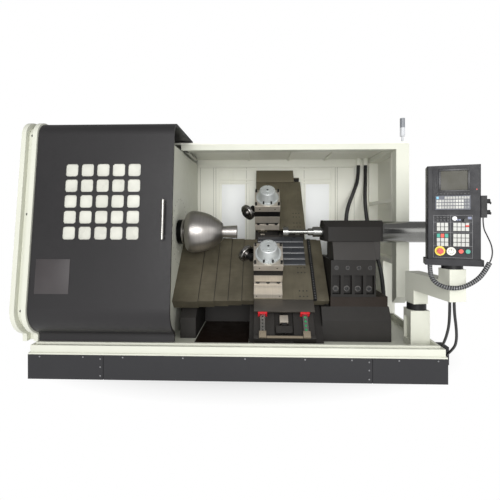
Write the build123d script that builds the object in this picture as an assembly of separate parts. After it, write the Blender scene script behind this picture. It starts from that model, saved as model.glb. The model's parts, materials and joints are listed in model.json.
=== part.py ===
from build123d import *
import math
import os

# A spinning lathe: slant bed, two roller slides, tailstock, sliding door and operator pendant.
# Millimetres, +Z up, origin under the middle of the plinth, +Y away from the operator.

# Fits
SLIP = 0.3
RUNNING = 0.05
OVERRUN = 10

# Plinth and chip tray
PLINTH_LENGTH = 3100
PLINTH_DEPTH = 1600
PLINTH_HEIGHT = 183
PLINTH_SEAM = 6
PLINTH_SEAM_SHARES = (-0.315, 0.325)
TRAY_INSET = 12
TRAY_WALL = 22
TRAY_FLOOR = 5
TRAY_HEIGHT = 66
TRAY_LIP = 10
TRAY_LIP_HEIGHT = 12

# Cabinet sheet metal
SHEET = 16
CABINET_BACK = 774
CABINET_FRONT = -118
CABINET_CEILING = 1886
CABINET_LEFT = -1494
CABINET_RIGHT = 1423
PARTITION_X = -545
PARTITION_HOLES = 12
PARTITION_HOLE_CIRCLE = 175
PARTITION_HOLE_RADIUS = 7
BEAM_HEIGHT = 53
BEAM_DEPTH = 110
COLUMN_WIDTH = 117
COLUMN_FOOT_RISE = 75
NOTCH_TOP = 780
NOTCH_BACK = 250
WALL_RAIL_Z = 1355
WALL_RAIL_HEIGHT = 36
CEILING_RIB_WIDTH = 22
CEILING_RIB_DROP = 14
CEILING_RIB_SHARES = (0.30, 0.53, 0.74)
FASCIA_HEIGHT = 52
WALL_PANEL_STEP = 8
WALL_PANEL_GAP = 40
WALL_PANEL_COUNT = 5
GUARD_Y = -640

# End cap and door share one curved side profile
DOOR_LENGTH = 1035
DOOR_LEFT = -1489
DOOR_BOTTOM = 271
DOOR_STRIP_TOP = 335
DOOR_STRIP_Y = -753
DOOR_BELLY_REACH = 165
DOOR_BELLY_Z = 410
DOOR_BELLY_RADIUS = 200
DOOR_STRIP_RADIUS = 40
DOOR_RISE = 50
DOOR_TOP = CABINET_CEILING + DOOR_RISE
DOOR_TOP_RADIUS = 110
DOOR_WALL = 22
DOOR_ROOF_BACK = -10
WINDOW_ROWS = 5
WINDOW_SIZE = 95
WINDOW_PITCH = 118
WINDOW_CORNER = 19
WINDOW_CENTRE_X = -981
WINDOW_DROP = 607
WINDOW_CENTRE_Z = DOOR_TOP - WINDOW_DROP
PANE_WALL = 6
HANDLE_LENGTH = 290
HANDLE_RADIUS = 13
HANDLE_STAND = 42
HANDLE_FROM_EDGE = 58
HANDLE_DROP = 746
HANDLE_Z = DOOR_TOP - HANDLE_DROP
GLIDE_LENGTH = 90
GLIDE_WIDTH = 60
GLIDE_SHARES = (0.12, 0.88)
TRACK_DROP = 8
CAP_OUTER = -1612
CAP_FLANGE = 34
CAP_GROOVE_DEPTH = 30
CAP_MARGIN = 12

# Spindle line
AXIS_Y = -218
AXIS_Z = 1085
SPINDLE_RADIUS = 60
SPINDLE_BACK = -1180
FLANGE_RADIUS = 109
FLANGE_WIDTH = 52
FLANGE_FRONT = -487
MANDREL_BACK = -466
MANDREL_STEP_RADIUS = 152
MANDREL_RADIUS = 186
MANDREL_CROWN_X = -410
MANDREL_NECK_RADIUS = 75
MANDREL_NECK_X = -145
STUB_RADIUS = 50
STUB_END_RADIUS = 57
STUB_END = -18
HEADSTOCK_FRONT = -600
HEADSTOCK_LENGTH = 440
HEADSTOCK_WIDTH = 360
HEADSTOCK_TOP = 1290
HEADSTOCK_FOOT_WIDTH = 520
HEADSTOCK_SEAT_LENGTH = 60
BEARING_RADIUS = 95
PULLEY_RADIUS = 130
PULLEY_WIDTH = 70
PULLEY_X = -1120
PULLEY_RIM = 6
MOTOR_Z = 420
MOTOR_Y = 250
MOTOR_RADIUS = 130
MOTOR_LENGTH = 380
MOTOR_SHAFT_RADIUS = 24
MOTOR_PULLEY_RADIUS = 75
MOTOR_FOOT = 300
BELT = 8

# Bed and its telescopic covers, in slant-frame sizes
BED_LEFT = -490
BED_RIGHT = 1265
BED_DROP = 175
BED_TOP_V = 200
BED_BACK = 160
BED_CREST = 60
BED_SLAB = 120
LEG_FRONT = -400
CAVITY_LEFT = -356
CHUTE_BACK = 120
CAVITY_RIGHT = 100
CAVITY_BACK = -160
RAIL_WIDTH = 45
RAIL_HEIGHT = 35
X_RAIL_V = (-250, 80)
COVER_SHEET = 4
COVER_STEP = 9
COVER_TOP = -20
COVER_FOOT_V = -575
COVER_HEAD_V = 150
COVER_FLANGE_FOOT = -120
COVER_OVERLAP = 40
COVER_1_RIGHT = -331
COVER_2_RIGHT = -199
COVER_3_RIGHT = -83
COVER_4_RIGHT = 32
COVER_5_RIGHT = 160
COVER_EDGES = (COVER_1_RIGHT, COVER_2_RIGHT, COVER_3_RIGHT, COVER_4_RIGHT, COVER_5_RIGHT)
RIGHT_COVER_EDGES = (600, 730)
RIGHT_COVER_REACH = 38
COVER_WEB_FRONT = -340
COVER_WEB_BACK = 60

# Carriage and cross slides
SADDLE_LEFT = 139
SADDLE_WIDTH = 481
SADDLE_FOOT_V = -895
SADDLE_HEAD_V = 1030
SADDLE_THICK = 80
SADDLE_RIB_V = (260, 900)
SADDLE_RIB_DROP = 100
SADDLE_RIB_INSET = 60
HEAD_BLOCK = 18
HOOD_LAP = 85
HOOD_REACH = 120
HOOD_V = (SADDLE_HEAD_V - HOOD_LAP, SADDLE_HEAD_V + HOOD_REACH)
HOOD_K = (4, 14)
HOOD_WIDTH = 420
SADDLE_SIDE_DROP = 30
CROSS_RAIL_SPREAD = 340
CROSS_RAIL_HEIGHT = 32
CROSS_RAIL_WIDTH = 40
CROSS_SCREW_RADIUS = 16
BEARING_BLOCK_WIDTH = 130
BEARING_BLOCK_LENGTH = 60
BEARING_BLOCK_HEIGHT = 52
FOOT_BAR_LENGTH = 28
PLATE_THICK = 25
PLATE_GAP = 3
LOWER_PLATE_V = (-561, -207)
UPPER_PLATE_V = (236, 960)
PLATE_WIDTH = 489
PLATE_SHOULDER = 26
GUIDE_BLOCK_LENGTH = 90
BELLOWS_WIDTH = 430
BELLOWS_FOLDS = 5
BELLOWS_HIGH = 23
CENTRE_COVER_V = (143, 180)

# Tool turrets and forming rollers
TURRET_X = 255
TURRET_V = 340
TURRET_SIDE = 235
TURRET_BASE = 70
TURRET_TOE = 96
TURRET_TOE_HEIGHT = 55
TURRET_NECK = 28
TURRET_NECK_INSET = 12
TURRET_LOWER = 81
TURRET_SLOT = 66
TURRET_UPPER = 64
TURRET_CORE = 120
DOME_RADIUS = 105
DOME_TOP_RADIUS = 70
DOME_HEIGHT = 103
DOME_FOOT = 16
DOME_WAIST_RADIUS = 92
DOME_EDGE = 10
CLAMP_BOLT_SIDE = 18
CLAMP_BOLT_HEIGHT = 30
CLAMP_BOLT_SPREAD = 184
CLAMP_BOLT_OUT = 104
CLAMP_BOLT_COUNT = 2
ROLLER_X = 71
ROLLER_V = 250
ROLLER_K = 212
ROLLER_RADIUS = 75
ROLLER_WIDTH = 44
ROLLER_NOSE = 14
ROLLER_HUB_RADIUS = 38
ROLLER_HUB = 12
AXLE_RADIUS = 20
AXLE_CAP_RADIUS = 28
AXLE_CAP = 10
ARM_WIDTH = 54
ARM_HEIGHT = 58
ARM_REACH = 6
ARM_HEAD_RADIUS = 30
ARM_HEAD_LENGTH = 46

# Tailstock
TAIL_LEFT = 738
TAIL_RIGHT = 1233
TAIL_BED_FRONT = -450
TAIL_BED_LEFT = 700
TAIL_BED_FACE = 362
TAIL_WAY_FRONT = -395
TAIL_WAY_FOOT = 465
TAIL_WAY_TOP = 550
TAIL_WAY_BACK = 120
TAIL_WAY_X = (777, 1254)
TAIL_FOOT_X = (780, 1150)
TAIL_NECK_X = (804, 1207)
TAIL_WAY_MARGIN = 22
TAIL_FOOT_TOP = 728
TAIL_FLANGE_TOP = 854
TAIL_FLANGE_STEP = 18
TAIL_NECK_TOP = 1009
TAIL_DEPTH = 300
TAIL_HEAD_TOP = 1186
TAIL_CHAMFER = 55
TAIL_END_CHAMFER = 28
TAIL_POCKETS = 4
TAIL_POCKET_DEPTH = 45
TAIL_POCKET_SHARE = 0.72
TAIL_BOLT_RADIUS = 17
TAIL_BOLT_HEAD = 16
SLEEVE_LEFT = 612
SLEEVE_STEP_X = 655
SLEEVE_RADIUS = 32
SLEEVE_BIG_RADIUS = 45
QUILL_RADIUS = 20
QUILL_BACK = 1757
PUSHER_LEFT = 392
PUSHER_WIDTH = 45
PUSHER_RADIUS = 48
PUSHER_BORE = 12
CYLINDER_RADIUS = 92
CYLINDER_RIGHT = 1850
CYLINDER_CAP = 30
CYLINDER_WALL = 22
PISTON_WIDTH = 60
CONDUIT_RADIUS = 20
GLAND_RADIUS = 27
GLAND_DROP = 75
BEND_SHARE = 0.45
CONDUIT_TOP = CABINET_CEILING - GLAND_DROP
CONDUIT_BEND = CONDUIT_TOP - 2 * GLAND_DROP

# Pendant, its post and arm, cables and lamp
POST_X = 1440
POST_Y = -515
POST_SIDE = 148
POST_TOP = 480
POST_RECESS = 60
SWIVEL_RADIUS = 73
SWIVEL_TOP = 530
PIVOT_SIDE = 120
ARM_BOTTOM = 640
ARM_TOP = 775
ARM_BREADTH = 120
PENDANT_X = 1507
PENDANT_Y = -937
PENDANT_YAW = -18
NECK_SIDE = 120
NECK_TOP = 858
NECK_RING_RADIUS = 67
PENDANT_WIDTH = 320
PENDANT_DEPTH = 130
PENDANT_BOTTOM = 885
PENDANT_TOP = 1557
PENDANT_EDGE = 8
LIP_HEIGHT = 42
LIP_REACH = 14
PANEL_RAISE = 5
PANEL_WIDTH = 236
PANEL_SHIFT = -7
SCREEN_PANEL = (1255, 1535)
KEY_PANEL = (936, 1223)
SCREEN_WIDTH = 172
SCREEN_HEIGHT = 140
SCREEN_X = 2
SCREEN_Z = 1455
KEY_RAISE = 4
KEYPAD_Z = 1306
KEYPAD_WIDTH = 208
KEYPAD_HEIGHT = 94
LEFT_KEYS_X = -68
RIGHT_KEYS_X = 43
KEY_PITCH = 24
KEY_ROW_PITCH = 29
KEY_SIDE = 20
KEY_HEIGHT = 25
LOW_KEYS_Z = 1056
HIGH_KEYS_Z = 1144
CONTROL_Z = 982
STOP_X = -83
DIAL_X = -18
RED_X = 41
GREEN_X = 81
SELECTOR_X = 69
SELECTOR_Z = 1188
STOP_RING_RADIUS = 30
STOP_RADIUS = 20
STOP_STEM = 11
STOP_HEIGHT = 26
BUTTON_RADIUS = 14
BUTTON_HEIGHT = 14
BUTTON_TRAVEL = 5
BUTTON_BEZEL = 18
DIAL_RADIUS = 27
DIAL_HEIGHT = 20
SELECTOR_RADIUS = 14
SELECTOR_HEIGHT = 22
CONTROL_WELL = 20
HAND_UNIT_WIDTH = 34
HAND_UNIT_DEPTH = 60
HAND_UNIT_Z = (1205, 1350)
HAND_KNOB_RADIUS = 15
HAND_KNOB_HEIGHT = 22
HAND_KNOB_SHARES = (0.25, 0.75)
LAMP_X = 1500
LAMP_Y = -60
LAMP_RADIUS = 22
LAMP_BODY = 75
LAMP_LENS = 90
LAMP_STEM = 9
LAMP_STEM_HEIGHT = 60
CABLE_RADIUS = 9.5
CABLE_GLAND_RADIUS = 15
CABLE_GLAND = 45
CABLE_BOX_DEPTH = 120
CABLE_BOX_WIDTH = 110
CABLE_BOX_Z = (60, 200)
CABLE_BOX_FRONT = -590
CURLY_RADIUS = 15
HAND_CORD_RADIUS = 4
LEFT_CABLE = [
    (1492, -937, 640), (1492, -937, 560), (1510, -890, 450),
    (1535, -800, 345), (1562, -700, 260), (1584, -600, 190),
]
RIGHT_CABLE = [
    (1522, -937, 640), (1522, -937, 560), (1552, -905, 450),
    (1592, -835, 340), (1626, -735, 240), (1624, -620, 150),
]
CURLY_CORD = [
    (-142, -48, 885), (-142, -48, 825), (-118, -80, 768), (-50, -104, 738),
    (34, -108, 742), (106, -106, 782), (165, -102, 840), (200, -96, 915),
]
HAND_CORD = [
    (200, -96, 915), (217.5, -93, 952.5), (220, -70, 1020),
    (199, -45, 1085), (177, -35, 1140), (177, -35, 1205),
]
LEFT_CONDUIT = [
    (1300, 728, CONDUIT_TOP), (1300, 728, CONDUIT_BEND), (1225, 640, 1500), (1130, 480, 1350),
    (1062, 290, 1222), (1025, 110, 1112), (1025, -68, 1112),
]
RIGHT_CONDUIT = [
    (1380, 728, CONDUIT_TOP), (1380, 728, CONDUIT_BEND), (1345, 620, 1480), (1300, 440, 1300),
    (1272, 240, 1120),
    (1285, 85, 920), (1325, 14, 730), (1346, 2, 540), (1350, 0, 380), (1350, 0, 230),
]

# Slant frame: local x along the bed, local y up the slope, local z off the plate
SLANT_STAND = 212
SLANT = Plane(
    origin=(0, AXIS_Y + SLANT_STAND / math.sqrt(2), AXIS_Z - SLANT_STAND / math.sqrt(2)),
    x_dir=(1, 0, 0),
    z_dir=(0, -1, 1),
)


def block(x0, x1, y0, y1, z0, z1):
    """A box between its limits."""
    size = Box(x1 - x0, y1 - y0, z1 - z0)
    return Pos((x0 + x1) / 2, (y0 + y1) / 2, (z0 + z1) / 2) * size


def slab(x0, x1, v0, v1, k0, k1):
    """A box between its limits in the slant frame."""
    return SLANT * block(x0, x1, v0, v1, k0, k1)


def rod_x(radius, x0, x1, y=AXIS_Y, z=AXIS_Z):
    """A round bar along X, on the spindle line unless told otherwise."""
    bar = Rot(0, 90, 0) * Cylinder(radius, x1 - x0)
    return Pos((x0 + x1) / 2, y, z) * bar


def disc(radius, x, y, z0, z1):
    """An upright round bar."""
    return Pos(x, y, (z0 + z1) / 2) * Cylinder(radius, z1 - z0)


def slant_disc(radius, x, v, k0, k1):
    """A round bar that stands off the slant plate."""
    return SLANT * disc(radius, x, v, k0, k1)


def along_x(points, x0, x1):
    """A profile of (y, z) points run along X."""
    face = Plane.YZ * make_face(Polyline(*points, close=True))
    return Pos(x0, 0, 0) * extrude(face, x1 - x0, dir=(1, 0, 0))


PARTS = {}


def keep(name, *solids):
    """Store one piece, or a group of like pieces, under its node name."""
    PARTS[name] = solids[0] if len(solids) == 1 else Compound(children=list(solids))


# Plinth: a closed box with two panel seams
plinth_left = -PLINTH_LENGTH / 2
plinth_right = PLINTH_LENGTH / 2
plinth_front = -PLINTH_DEPTH / 2
plinth_back = PLINTH_DEPTH / 2
plinth = block(plinth_left, plinth_right, plinth_front, plinth_back, 0, PLINTH_HEIGHT)
for share in PLINTH_SEAM_SHARES:
    seam_x = share * PLINTH_LENGTH
    seam_end = plinth_front + PLINTH_SEAM
    plinth -= block(
        seam_x - PLINTH_SEAM / 2, seam_x + PLINTH_SEAM / 2,
        plinth_front - OVERRUN, seam_end, -OVERRUN, PLINTH_HEIGHT + OVERRUN,
    )
keep("plinth", plinth)

# Chip tray: floor, rim and a small lip round its foot
tray_left = plinth_left + TRAY_INSET
tray_right = plinth_right - TRAY_INSET
tray_front = plinth_front + TRAY_INSET
tray_back = plinth_back - TRAY_INSET
tray_floor = PLINTH_HEIGHT + TRAY_FLOOR
tray_top = PLINTH_HEIGHT + TRAY_HEIGHT
tray = block(tray_left, tray_right, tray_front, tray_back, PLINTH_HEIGHT, tray_top)
tray += block(
    tray_left - TRAY_LIP, tray_right + TRAY_LIP, tray_front - TRAY_LIP, tray_back + TRAY_LIP,
    PLINTH_HEIGHT, PLINTH_HEIGHT + TRAY_LIP_HEIGHT,
)
tray -= block(
    tray_left + TRAY_WALL, tray_right - TRAY_WALL, tray_front + TRAY_WALL, tray_back - TRAY_WALL,
    tray_floor, tray_top + OVERRUN,
)
tray += block(
    tray_left + TRAY_WALL, tray_right - TRAY_WALL, DOOR_STRIP_Y, DOOR_STRIP_Y + DOOR_WALL,
    tray_floor, DOOR_BOTTOM - TRACK_DROP,
)

# Cabinet walls
wall_panel_span = (CABINET_RIGHT - PARTITION_X) / WALL_PANEL_COUNT
back_wall = block(CABINET_LEFT, CABINET_RIGHT, CABINET_BACK, CABINET_BACK + SHEET, tray_top, CABINET_CEILING)
for number in range(WALL_PANEL_COUNT):
    panel_left = PARTITION_X + number * wall_panel_span + WALL_PANEL_GAP / 2
    back_wall += block(
        panel_left, panel_left + wall_panel_span - WALL_PANEL_GAP,
        CABINET_BACK - WALL_PANEL_STEP, CABINET_BACK,
        CABINET_CEILING / 2, CABINET_CEILING - FASCIA_HEIGHT - WALL_PANEL_GAP,
    )

cabinet_back = CABINET_BACK + SHEET
roof_top = CABINET_CEILING + SHEET
ceiling = block(
    CABINET_LEFT, CABINET_RIGHT + COLUMN_WIDTH, CABINET_FRONT, cabinet_back, CABINET_CEILING, roof_top,
)
ceiling_run = CABINET_RIGHT - PARTITION_X
for share in CEILING_RIB_SHARES:
    rib_x = PARTITION_X + share * ceiling_run
    ceiling += block(
        rib_x, rib_x + CEILING_RIB_WIDTH, CABINET_FRONT + BEAM_DEPTH, CABINET_BACK,
        CABINET_CEILING - CEILING_RIB_DROP, CABINET_CEILING,
    )
ceiling += block(
    PARTITION_X, CABINET_RIGHT, CABINET_BACK - SHEET, CABINET_BACK,
    CABINET_CEILING - FASCIA_HEIGHT, CABINET_CEILING,
)

# Top beam carries the door rail on the roof's front edge
beam_back = CABINET_FRONT + BEAM_DEPTH
front_frame = block(
    PARTITION_X, CABINET_RIGHT, CABINET_FRONT, beam_back, CABINET_CEILING - BEAM_HEIGHT, CABINET_CEILING,
)

# Right end: a column with a slanted foot, and a recessed wall with a notch behind it
column_right = CABINET_RIGHT + COLUMN_WIDTH
front_frame += along_x(
    [
        (CABINET_FRONT, tray_floor + 4 * COLUMN_FOOT_RISE),
        (beam_back, tray_floor + 3 * COLUMN_FOOT_RISE),
        (beam_back, CABINET_CEILING),
        (CABINET_FRONT, CABINET_CEILING),
    ],
    CABINET_RIGHT, column_right,
)
keep("front_frame", front_frame)
right_wall = along_x(
    [
        (beam_back, NOTCH_TOP), (NOTCH_BACK, NOTCH_TOP), (NOTCH_BACK, tray_top), (cabinet_back, tray_top),
        (cabinet_back, CABINET_CEILING), (beam_back, CABINET_CEILING),
    ],
    CABINET_RIGHT, column_right,
)
right_wall -= block(
    CABINET_RIGHT - OVERRUN, column_right - SHEET,
    beam_back + WALL_PANEL_GAP, CABINET_BACK - WALL_PANEL_GAP,
    NOTCH_TOP + WALL_PANEL_GAP, CABINET_CEILING - FASCIA_HEIGHT,
)
right_wall += block(
    CABINET_RIGHT, CABINET_RIGHT + SHEET, beam_back, CABINET_BACK,
    WALL_RAIL_Z, WALL_RAIL_Z + WALL_RAIL_HEIGHT,
)
keep("cabinet_walls", back_wall + right_wall)

# Partition between headstock and work space, with a hole for the spindle flange
partition_left = PARTITION_X - SHEET
partition = block(
    partition_left, PARTITION_X, GUARD_Y, CABINET_BACK - WALL_PANEL_STEP,
    tray_floor, CABINET_CEILING - BEAM_HEIGHT,
)
partition -= rod_x(FLANGE_RADIUS - OVERRUN, partition_left - OVERRUN, PARTITION_X + OVERRUN)
for number in range(PARTITION_HOLES):
    angle = 2 * math.pi * number / PARTITION_HOLES
    partition -= rod_x(
        PARTITION_HOLE_RADIUS, partition_left - OVERRUN, PARTITION_X + OVERRUN,
        AXIS_Y + (PARTITION_HOLE_CIRCLE - PARTITION_HOLE_RADIUS) * math.cos(angle),
        AXIS_Z + PARTITION_HOLE_CIRCLE * math.sin(angle),
    )
partition += block(
    CABINET_LEFT, partition_left, GUARD_Y, GUARD_Y + SHEET, tray_floor, CABINET_CEILING,
)


def shifted(points, distance):
    """The open outline moved sideways by a distance, to the right of its direction."""
    moved = []
    lines = []
    for start, end in zip(points, points[1:]):
        along = Vector(end[0] - start[0], end[1] - start[1]).normalized()
        aside = Vector(along.Y, -along.X) * distance
        lines.append((Vector(*start) + aside, Vector(*end) + aside, along))
    moved.append(lines[0][0])
    for before, after in zip(lines, lines[1:]):
        cross = before[2].X * after[2].Y - before[2].Y * after[2].X
        gap = after[0] - before[0]
        reach = (gap.X * after[2].Y - gap.Y * after[2].X) / cross
        moved.append(before[0] + before[2] * reach)
    moved.append(lines[-1][1])
    return moved


DOOR_POINTS = [
    (DOOR_STRIP_Y, DOOR_BOTTOM),
    (DOOR_STRIP_Y, DOOR_STRIP_TOP),
    (DOOR_STRIP_Y - DOOR_BELLY_REACH, DOOR_BELLY_Z),
    (DOOR_STRIP_Y, DOOR_TOP),
    (DOOR_ROOF_BACK, DOOR_TOP),
]


def door_path(depth):
    """The door's side outline at a depth inside its skin, with its rounded corners."""
    radii = [DOOR_STRIP_RADIUS + depth, DOOR_BELLY_RADIUS - depth, DOOR_TOP_RADIUS - depth]
    return FilletPolyline(*[(p.X, p.Y) for p in shifted(DOOR_POINTS, depth)], radius=radii)


def door_layer(x0, x1, outer, inner):
    """A sheet that follows the door's outline between two depths."""
    skin = door_path(outer)
    lining = door_path(inner)
    ends = [Line(skin @ 0, lining @ 0), Line(skin @ 1, lining @ 1)]
    face = Plane.YZ * make_face(Wire(list(skin.edges()) + list(lining.edges()) + ends))
    return Pos(x0, 0, 0) * extrude(face, x1 - x0, dir=(1, 0, 0))


def cap_body(x0, x1, outer):
    """A closed end slice whose front follows the door's outline."""
    skin = door_path(outer)
    top = skin @ 1
    foot = skin @ 0
    corners = [(top.X, top.Y), (cabinet_back, top.Y), (cabinet_back, foot.Y), (foot.X, foot.Y)]
    face = Plane.YZ * make_face(Wire(list(skin.edges()) + list(Polyline(*corners).edges())))
    return Pos(x0, 0, 0) * extrude(face, x1 - x0, dir=(1, 0, 0))


# Door: curved sheet, end returns, rounded windows and their panes
door_right = DOOR_LEFT + DOOR_LENGTH
lean = math.atan2(DOOR_BELLY_REACH, DOOR_TOP - DOOR_BELLY_Z)


def front_plane(x, z):
    """A plane on the leaning front of the door, local y up the front."""
    y = DOOR_STRIP_Y - DOOR_BELLY_REACH + (z - DOOR_BELLY_Z) * math.tan(lean)
    return Plane(origin=(x, y, z), x_dir=(1, 0, 0), z_dir=(0, -math.cos(lean), math.sin(lean)))


def window_prisms(size, corner, depth):
    """One rounded prism for each window, through the leaning front."""
    window_plane = front_plane(WINDOW_CENTRE_X, WINDOW_CENTRE_Z)
    places = GridLocations(WINDOW_PITCH, WINDOW_PITCH, WINDOW_ROWS, WINDOW_ROWS)
    prism = extrude(RectangleRounded(size, size, corner), depth, both=True)
    return [window_plane * place * prism for place in places]


door = door_layer(DOOR_LEFT, door_right, 0, DOOR_WALL)
for prism in window_prisms(WINDOW_SIZE, WINDOW_CORNER, 2 * DOOR_WALL):
    door -= prism
for share in GLIDE_SHARES:
    glide_x = DOOR_LEFT + share * DOOR_LENGTH
    door += block(
        glide_x - GLIDE_LENGTH / 2, glide_x + GLIDE_LENGTH / 2,
        CABINET_FRONT + SHEET, CABINET_FRONT + SHEET + GLIDE_WIDTH, roof_top + SLIP, DOOR_TOP - DOOR_WALL,
    )
keep("door", door)

pane_sheet = door_layer(DOOR_LEFT, door_right, DOOR_WALL / 2, DOOR_WALL / 2 + PANE_WALL)
panes = []
for prism in window_prisms(WINDOW_SIZE - 2 * RUNNING, WINDOW_CORNER, 2 * DOOR_WALL):
    panes.append(prism & pane_sheet)
keep("door_panes", *panes)

handle_plane = front_plane(door_right - HANDLE_FROM_EDGE, HANDLE_Z)
handle = Pos(0, 0, HANDLE_STAND) * (Rot(90, 0, 0) * Cylinder(HANDLE_RADIUS, HANDLE_LENGTH))
for end in (-1, 1):
    stem_y = end * (HANDLE_LENGTH / 2 - 2 * HANDLE_RADIUS)
    handle += Pos(0, stem_y, HANDLE_STAND / 2) * Cylinder(HANDLE_RADIUS, HANDLE_STAND)
keep("door_handle", handle_plane * handle)

# Left end cap: flange, groove, flange, all on the door's outline
cap = cap_body(CAP_OUTER, CABINET_LEFT, CAP_GROOVE_DEPTH)
cap += cap_body(CAP_OUTER, CAP_OUTER + CAP_FLANGE, -CAP_MARGIN)
cap += cap_body(CABINET_LEFT - CAP_FLANGE, CABINET_LEFT, -CAP_MARGIN)
cap += block(
    CAP_OUTER + CAP_MARGIN, CABINET_LEFT, GUARD_Y, cabinet_back - TRAY_WALL - TRAY_INSET,
    tray_top, DOOR_BOTTOM,
)
keep("left_end_cap", cap)

keep("partition_wall", partition)

# Headstock casting, spindle, bearings and belt drive
headstock_back = HEADSTOCK_FRONT - HEADSTOCK_LENGTH
headstock = block(
    headstock_back, HEADSTOCK_FRONT, AXIS_Y - HEADSTOCK_WIDTH / 2, AXIS_Y + HEADSTOCK_WIDTH / 2,
    tray_floor, HEADSTOCK_TOP,
)
headstock += block(
    headstock_back, HEADSTOCK_FRONT, AXIS_Y - HEADSTOCK_FOOT_WIDTH / 2, AXIS_Y + HEADSTOCK_FOOT_WIDTH / 2,
    tray_floor, tray_floor + HEADSTOCK_SEAT_LENGTH,
)
headstock -= rod_x(BEARING_RADIUS, headstock_back - OVERRUN, HEADSTOCK_FRONT + OVERRUN)
keep("headstock", headstock)

bearings = []
for bearing_x in (headstock_back, HEADSTOCK_FRONT - HEADSTOCK_SEAT_LENGTH):
    ring = rod_x(BEARING_RADIUS - RUNNING, bearing_x, bearing_x + HEADSTOCK_SEAT_LENGTH)
    ring -= rod_x(SPINDLE_RADIUS + RUNNING, bearing_x - OVERRUN, bearing_x + HEADSTOCK_SEAT_LENGTH + OVERRUN)
    bearings.append(ring)
keep("spindle_bearings", *bearings)

flange_back = FLANGE_FRONT - FLANGE_WIDTH
spindle = rod_x(SPINDLE_RADIUS, SPINDLE_BACK, flange_back)
spindle += rod_x(FLANGE_RADIUS, flange_back, FLANGE_FRONT)
spindle += rod_x(SPINDLE_RADIUS, FLANGE_FRONT, MANDREL_BACK)

# Mandrel: a rounded back edge, a bell that narrows to a shoulder, and a flared stub
with BuildPart() as mandrel_build:
    with BuildSketch(Plane.XZ):
        with BuildLine():
            Line((MANDREL_BACK, 0), (MANDREL_BACK, MANDREL_STEP_RADIUS))
            TangentArc(
                (MANDREL_CROWN_X, MANDREL_RADIUS), (MANDREL_BACK, MANDREL_STEP_RADIUS), tangent=(-1, 0),
            )
            TangentArc(
                (MANDREL_CROWN_X, MANDREL_RADIUS), (MANDREL_NECK_X, MANDREL_NECK_RADIUS), tangent=(1, 0),
            )
            Polyline(
                (MANDREL_NECK_X, MANDREL_NECK_RADIUS), (MANDREL_NECK_X, STUB_RADIUS),
                (STUB_END, STUB_END_RADIUS), (STUB_END, 0), (MANDREL_BACK, 0),
            )
        make_face()
    revolve(axis=Axis.X)
keep("mandrel", Pos(0, AXIS_Y, AXIS_Z) * mandrel_build.part)


def pulley(radius, bore, x, y, z):
    """A flat-belt pulley with two rims."""
    left = x - PULLEY_WIDTH / 2
    right = x + PULLEY_WIDTH / 2
    wheel = rod_x(radius, left, right, y, z)
    for rim_left in (left - PULLEY_RIM, right):
        wheel += rod_x(radius + BELT, rim_left, rim_left + PULLEY_RIM, y, z)
    return wheel - rod_x(bore, left - OVERRUN - PULLEY_RIM, right + OVERRUN + PULLEY_RIM, y, z)


spindle += pulley(PULLEY_RADIUS, SPINDLE_RADIUS - OVERRUN, PULLEY_X, AXIS_Y, AXIS_Z)
keep("spindle", spindle)
keep("motor_pulley", pulley(MOTOR_PULLEY_RADIUS, MOTOR_SHAFT_RADIUS + RUNNING, PULLEY_X, MOTOR_Y, MOTOR_Z))


def belt_face(thickness):
    """The area inside a belt line round both pulleys."""
    big = Pos(AXIS_Y, AXIS_Z) * CenterArc((0, 0), PULLEY_RADIUS + thickness, 0, 360)
    small = Pos(MOTOR_Y, MOTOR_Z) * CenterArc((0, 0), MOTOR_PULLEY_RADIUS + thickness, 0, 360)
    return make_hull([*big.edges(), *small.edges()])


belt_left = PULLEY_X - PULLEY_WIDTH / 2 + SLIP
belt = Plane.YZ * (belt_face(BELT) - belt_face(SLIP))
keep("drive_belt", Pos(belt_left, 0, 0) * extrude(belt, PULLEY_WIDTH - 2 * SLIP, dir=(1, 0, 0)))

motor_left = PULLEY_X + PULLEY_WIDTH / 2 + PULLEY_RIM + OVERRUN
motor_shaft_left = PULLEY_X - PULLEY_WIDTH / 2 - PULLEY_RIM
motor = rod_x(MOTOR_RADIUS, motor_left, motor_left + MOTOR_LENGTH, MOTOR_Y, MOTOR_Z)
motor += rod_x(MOTOR_SHAFT_RADIUS, motor_shaft_left, motor_left, MOTOR_Y, MOTOR_Z)
motor += block(
    motor_left + OVERRUN, motor_left + MOTOR_LENGTH - OVERRUN,
    MOTOR_Y - MOTOR_FOOT / 2, MOTOR_Y + MOTOR_FOOT / 2, tray_floor, MOTOR_Z - MOTOR_RADIUS / 2,
)
keep("spindle_motor", motor)


def slant_point(x, v, k):
    """A slant-frame place as a frame point."""
    place = SLANT * Pos(x, v, k)
    return place.position


# Bed: a 45 degree casting on a left leg, open below for chips, with a flat shelf for the tailstock
slope_foot = slant_point(0, 0, -BED_DROP)
slope_rise = slope_foot.Z - slope_foot.Y
slope_top = slant_point(0, BED_TOP_V, -BED_DROP)
chute_rise = slope_rise - BED_SLAB * math.sqrt(2)
crest_back = slope_top.Y + BED_CREST
toe_y = tray_floor - slope_rise
bed = along_x(
    [(toe_y, tray_floor), (slope_top.Y, slope_top.Z), (crest_back, slope_top.Z), (crest_back, tray_floor)],
    BED_LEFT, TAIL_BED_LEFT,
)
bed -= block(BED_LEFT - OVERRUN, CAVITY_RIGHT, toe_y - OVERRUN, LEG_FRONT, tray_floor - OVERRUN, slope_top.Z)
bed -= block(CAVITY_LEFT, CAVITY_RIGHT, toe_y - OVERRUN, CAVITY_BACK, tray_floor - OVERRUN, slope_top.Z)
bed -= along_x(
    [
        (CAVITY_BACK - OVERRUN, tray_floor - OVERRUN), (CAVITY_BACK - OVERRUN, CAVITY_BACK + chute_rise),
        (CHUTE_BACK, CHUTE_BACK + chute_rise), (CHUTE_BACK, tray_floor - OVERRUN),
    ],
    CAVITY_LEFT, CAVITY_RIGHT,
)
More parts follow.
